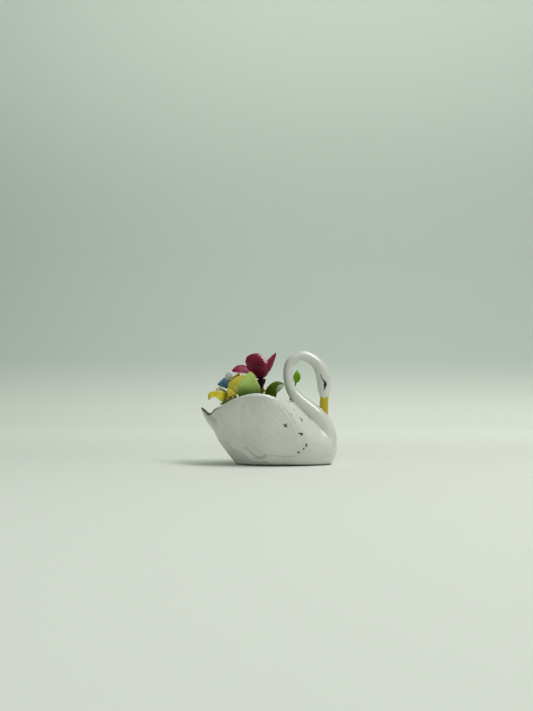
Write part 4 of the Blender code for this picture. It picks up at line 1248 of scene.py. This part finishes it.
class POSY_OT_leaves(bpy.types.Operator):
    """Shape the leaves of the posy"""

    bl_idname = "posy.leaves"
    bl_label = "Leaves"
    bl_options = {"REGISTER", "UNDO"}

    def execute(self, context):
        paint = context.scene.posy_flowers
        light = leaf_finish("light_green_wash", paint.light_green, (0.54, 0.68, 0.26), (0.045, 0.14, 0.005),
                            roughness=0.45, wash=0.15, lines_share=0.06, root=(0.3, 0.75))
        dark = leaf_finish("dark_green_enamel", paint.dark_green, (0.16, 0.21, 0.02), (0.014, 0.028, 0.004),
                           roughness=0.3, wash=0.7, lines_share=0.35, root=(0.1, 0.5),
                           lit_curl=(0.42, 0.50, 0.34))
        lime = leaf_finish("lime_enamel", paint.lime, (0.44, 0.60, 0.05), (0.06, 0.20, 0.01), roughness=0.3,
                           root=(0.3, 0.8))
        rim_green = leaf_finish("rim_green_enamel", (0.11, 0.14, 0.02), (0.24, 0.27, 0.07), (0.03, 0.045, 0.004),
                                roughness=0.35, wash=0.6)
        leaf("light_leaf", on_bed(-18.6, -9.6), [(-18.8, -10.6, 40.0), (-18.5, -10.6, 46.0), (-17.9, -9.0, 51.6)],
             (1.0, 0.0, 0.0), 6.7, light, "light_green", cup=0.12, shape=BROAD_LEAF, teeth=6.5, tooth_depth=0.08,
             vein=0.05)
        leaf("dark_leaf", on_bed(-7.4, -0.4), [(-7.3, -1.0, 38.4), (-5.8, -1.8, 41.8), (-2.7, -2.2, 44.0),
                                               (0.4, -2.0, 44.6)],
             (0.85, -0.3, -0.45), 3.1, dark, "dark_green", cup=-0.2, shape=OPEN_ARCH)
        leaf("lime_leaf", np.array([4.0, 5.4, rim_at(4.0) + SEAT_GAP]), [(5.2, 6.4, 38.8), (6.3, 7.5, 42.6),
                                                                        (7.7, 8.6, 46.4), (8.2, 9.0, 52.5)],
             (0.95, 0.1, -0.2), 1.95, lime, "lime", cup=0.15, teeth=9.0, tooth_depth=0.14, shape=SLENDER_LEAF)
        leaf("rim_leaf", on_bed(-24.2, -11.2), [(-26.4, -11.7, 35.8), (-30.6, -10.8, 35.4), (-34.8, -7.9, 33.6)],
             (0.1, -0.7, -0.7), 2.0, rim_green, "dark_green")
        leaf("far_leaf_1", on_bed(-9.0, 9.4), [(-8.4, 12.6, 37.6), (-7.8, 15.2, 40.2), (-7.6, 17.4, 41.8)],
             (-1.0, 0.2, 0.1), 3.4, light, "light_green", cup=0.15)
        leaf("far_leaf_2", on_bed(-22.6, 10.0), [(-23.0, 12.0, 37.4), (-23.4, 14.6, 38.4), (-23.8, 17.4, 39.0)],
             (-1.0, -0.1, 0.1), 2.2, lime, "lime", cup=0.15)
        return {"FINISHED"}


# The studio


def lamp(name, power, size, place, colour):
    """A round lamp that points at the middle of the swan."""
    light = bpy.data.lights.new(name, "AREA")
    light.shape = "DISK"
    light.size = size
    light.energy = power
    light.color = colour
    made = bpy.data.objects.new(name, light)
    made.location = place
    target = Vector((SWAN_MIDDLE, 0.0, 0.03))
    made.rotation_euler = (target - Vector(place)).to_track_quat("-Z", "Y").to_euler()
    bpy.context.scene.collection.objects.link(made)
    return made


def studio_sweep(settings):
    """A floor that curves up into a wall, greener up the wall, with painted light: paler with distance, brighter
    up the wall and darker towards the right.
    """
    curve_start, wall_at, half_wide = 0.45, 0.8, 6.0
    bend = wall_at - curve_start
    profile = [(-half_wide, 0.0), (0.0, 0.0), (curve_start, 0.0)]
    profile += [(curve_start + bend * math.sin(a), bend * (1 - math.cos(a)))
                for a in np.linspace(0, math.pi / 2, 24)[1:]]
    profile += [(wall_at, 2.4)]
    points = [(x, y, z) for y, z in profile for x in (-half_wide, half_wide)]
    faces = [(2 * i, 2 * i + 1, 2 * i + 3, 2 * i + 2) for i in range(len(profile) - 1)]
    mesh = bpy.data.meshes.new("sweep")
    mesh.from_pydata(points, [], faces)
    mesh.shade_smooth()
    finish = Finish("studio_sweep", Roughness=0.9, Specular_IOR_Level=0.1)
    side, depth, up = finish.parts(finish.place())
    back = up.rises(3.0, 85.0) * depth.rises(440.0, 460.0)
    # Painted light: the floor pales with distance, the wall brightens upwards and darkens towards the right.
    colour = finish.blend(depth.rises(40.0, 430.0), settings.floor, [1.24 * c for c in settings.floor])
    colour = finish.blend(back, colour, settings.backdrop)
    colour = finish.blend(up.rises(200.0, 620.0), colour, [1.32 * c for c in settings.backdrop])
    dim = side.rises(-300.0, 400.0) * back
    colour = finish.blend(dim * 0.3, colour, [0.7 * c for c in settings.backdrop])
    finish.feed(Base_Color=colour)
    mesh.materials.append(finish.material)
    floor = bpy.data.objects.new("studio_sweep", mesh)
    bpy.context.scene.collection.objects.link(floor)


def soft_room(settings):
    """Even light from all round, and the wall's colour where the camera looks past the sweep."""
    world = bpy.data.worlds.new("soft_room")
    world.use_nodes = True
    nodes = world.node_tree.nodes
    seen = nodes.new("ShaderNodeMix")
    seen.data_type = "RGBA"
    seen.inputs[6].default_value = (*(settings.sky * c for c in (0.93, 0.98, 0.94)), 1.0)
    seen.inputs[7].default_value = (0.42, 0.48, 0.42, 1.0)
    ray = nodes.new("ShaderNodeLightPath")
    world.node_tree.links.new(ray.outputs["Is Camera Ray"], seen.inputs[0])
    world.node_tree.links.new(seen.outputs[2], nodes["Background"].inputs["Color"])
    bpy.context.scene.world = world


def side_camera(settings):
    """A nearly level view of the swan's right side, at the size it has in the picture."""
    scene = bpy.context.scene
    camera = bpy.data.cameras.new("camera")
    camera.sensor_width = SENSOR_WIDTH
    camera.sensor_fit = "HORIZONTAL"
    frame_width = PICTURE_SIZE[0] * MM_PER_PIXEL * MM
    camera.lens = SENSOR_WIDTH * settings.camera_distance / frame_width
    camera.clip_start = 0.01
    made = bpy.data.objects.new("camera", camera)
    made.location = (SWAN_MIDDLE, -settings.camera_distance, settings.camera_height)
    aim = Vector(((PICTURE_SIZE[0] / 2 - ORIGIN_PIXEL[0]) * MM_PER_PIXEL * MM, 0.0,
                  (ORIGIN_PIXEL[1] - PICTURE_SIZE[1] / 2) * MM_PER_PIXEL * MM))
    made.rotation_euler = (aim - made.location).to_track_quat("-Z", "Y").to_euler()
    scene.collection.objects.link(made)
    scene.camera = made


class POSY_OT_studio(bpy.types.Operator):
    """Set the floor, backdrop, lamps and camera"""

    bl_idname = "posy.studio"
    bl_label = "Studio"
    bl_options = {"REGISTER", "UNDO"}

    def execute(self, context):
        settings = context.scene.posy_studio
        studio_sweep(settings)
        lamp("overhead_lamp", settings.key_power, 0.9, (0.34, 0.08, 1.2), (1.0, 0.99, 0.97))
        lamp("side_lamp", settings.side_power, 0.5, (0.50, -0.30, 0.86), (1.0, 1.0, 0.98))
        lamp("front_lamp", settings.fill_power, 0.5, (-0.12, -0.62, 0.62), (0.98, 1.0, 1.0))
        soft_room(settings)
        side_camera(settings)
        context.scene.view_settings.view_transform = "Standard"
        return {"FINISHED"}


class POSY_PT_panel(bpy.types.Panel):
    """Steps and settings of the swan posy figurine"""

    bl_label = "Swan Posy"
    bl_space_type = "VIEW_3D"
    bl_region_type = "UI"
    bl_category = "Posy"

    def draw(self, context):
        layout = self.layout
        for step in STEPS:
            layout.operator(step.bl_idname)
        for group in (context.scene.posy_swan, context.scene.posy_flowers, context.scene.posy_studio):
            column = layout.column(align=True)
            for setting in group.bl_rna.properties:
                if setting.identifier not in ("rna_type", "name"):
                    column.prop(group, setting.identifier)


STEPS = (POSY_OT_studio, POSY_OT_swan, POSY_OT_clay_bed, POSY_OT_magenta_flower, POSY_OT_small_flowers,
         POSY_OT_leaves)
CLASSES = (SwanSettings, PosySettings, StudioSettings, *STEPS, POSY_PT_panel)


def register():
    for made in CLASSES:
        bpy.utils.register_class(made)
    bpy.types.Scene.posy_swan = bpy.props.PointerProperty(type=SwanSettings)
    bpy.types.Scene.posy_flowers = bpy.props.PointerProperty(type=PosySettings)
    bpy.types.Scene.posy_studio = bpy.props.PointerProperty(type=StudioSettings)


def unregister():
    del bpy.types.Scene.posy_studio
    del bpy.types.Scene.posy_flowers
    del bpy.types.Scene.posy_swan
    for made in reversed(CLASSES):
        bpy.utils.unregister_class(made)


def main():
    register()
    bpy.ops.posy.studio()
    bpy.ops.posy.swan()
    bpy.ops.posy.clay_bed()
    bpy.ops.posy.magenta_flower()
    bpy.ops.posy.small_flowers()
    bpy.ops.posy.leaves()


if __name__ == "__main__":
    main()
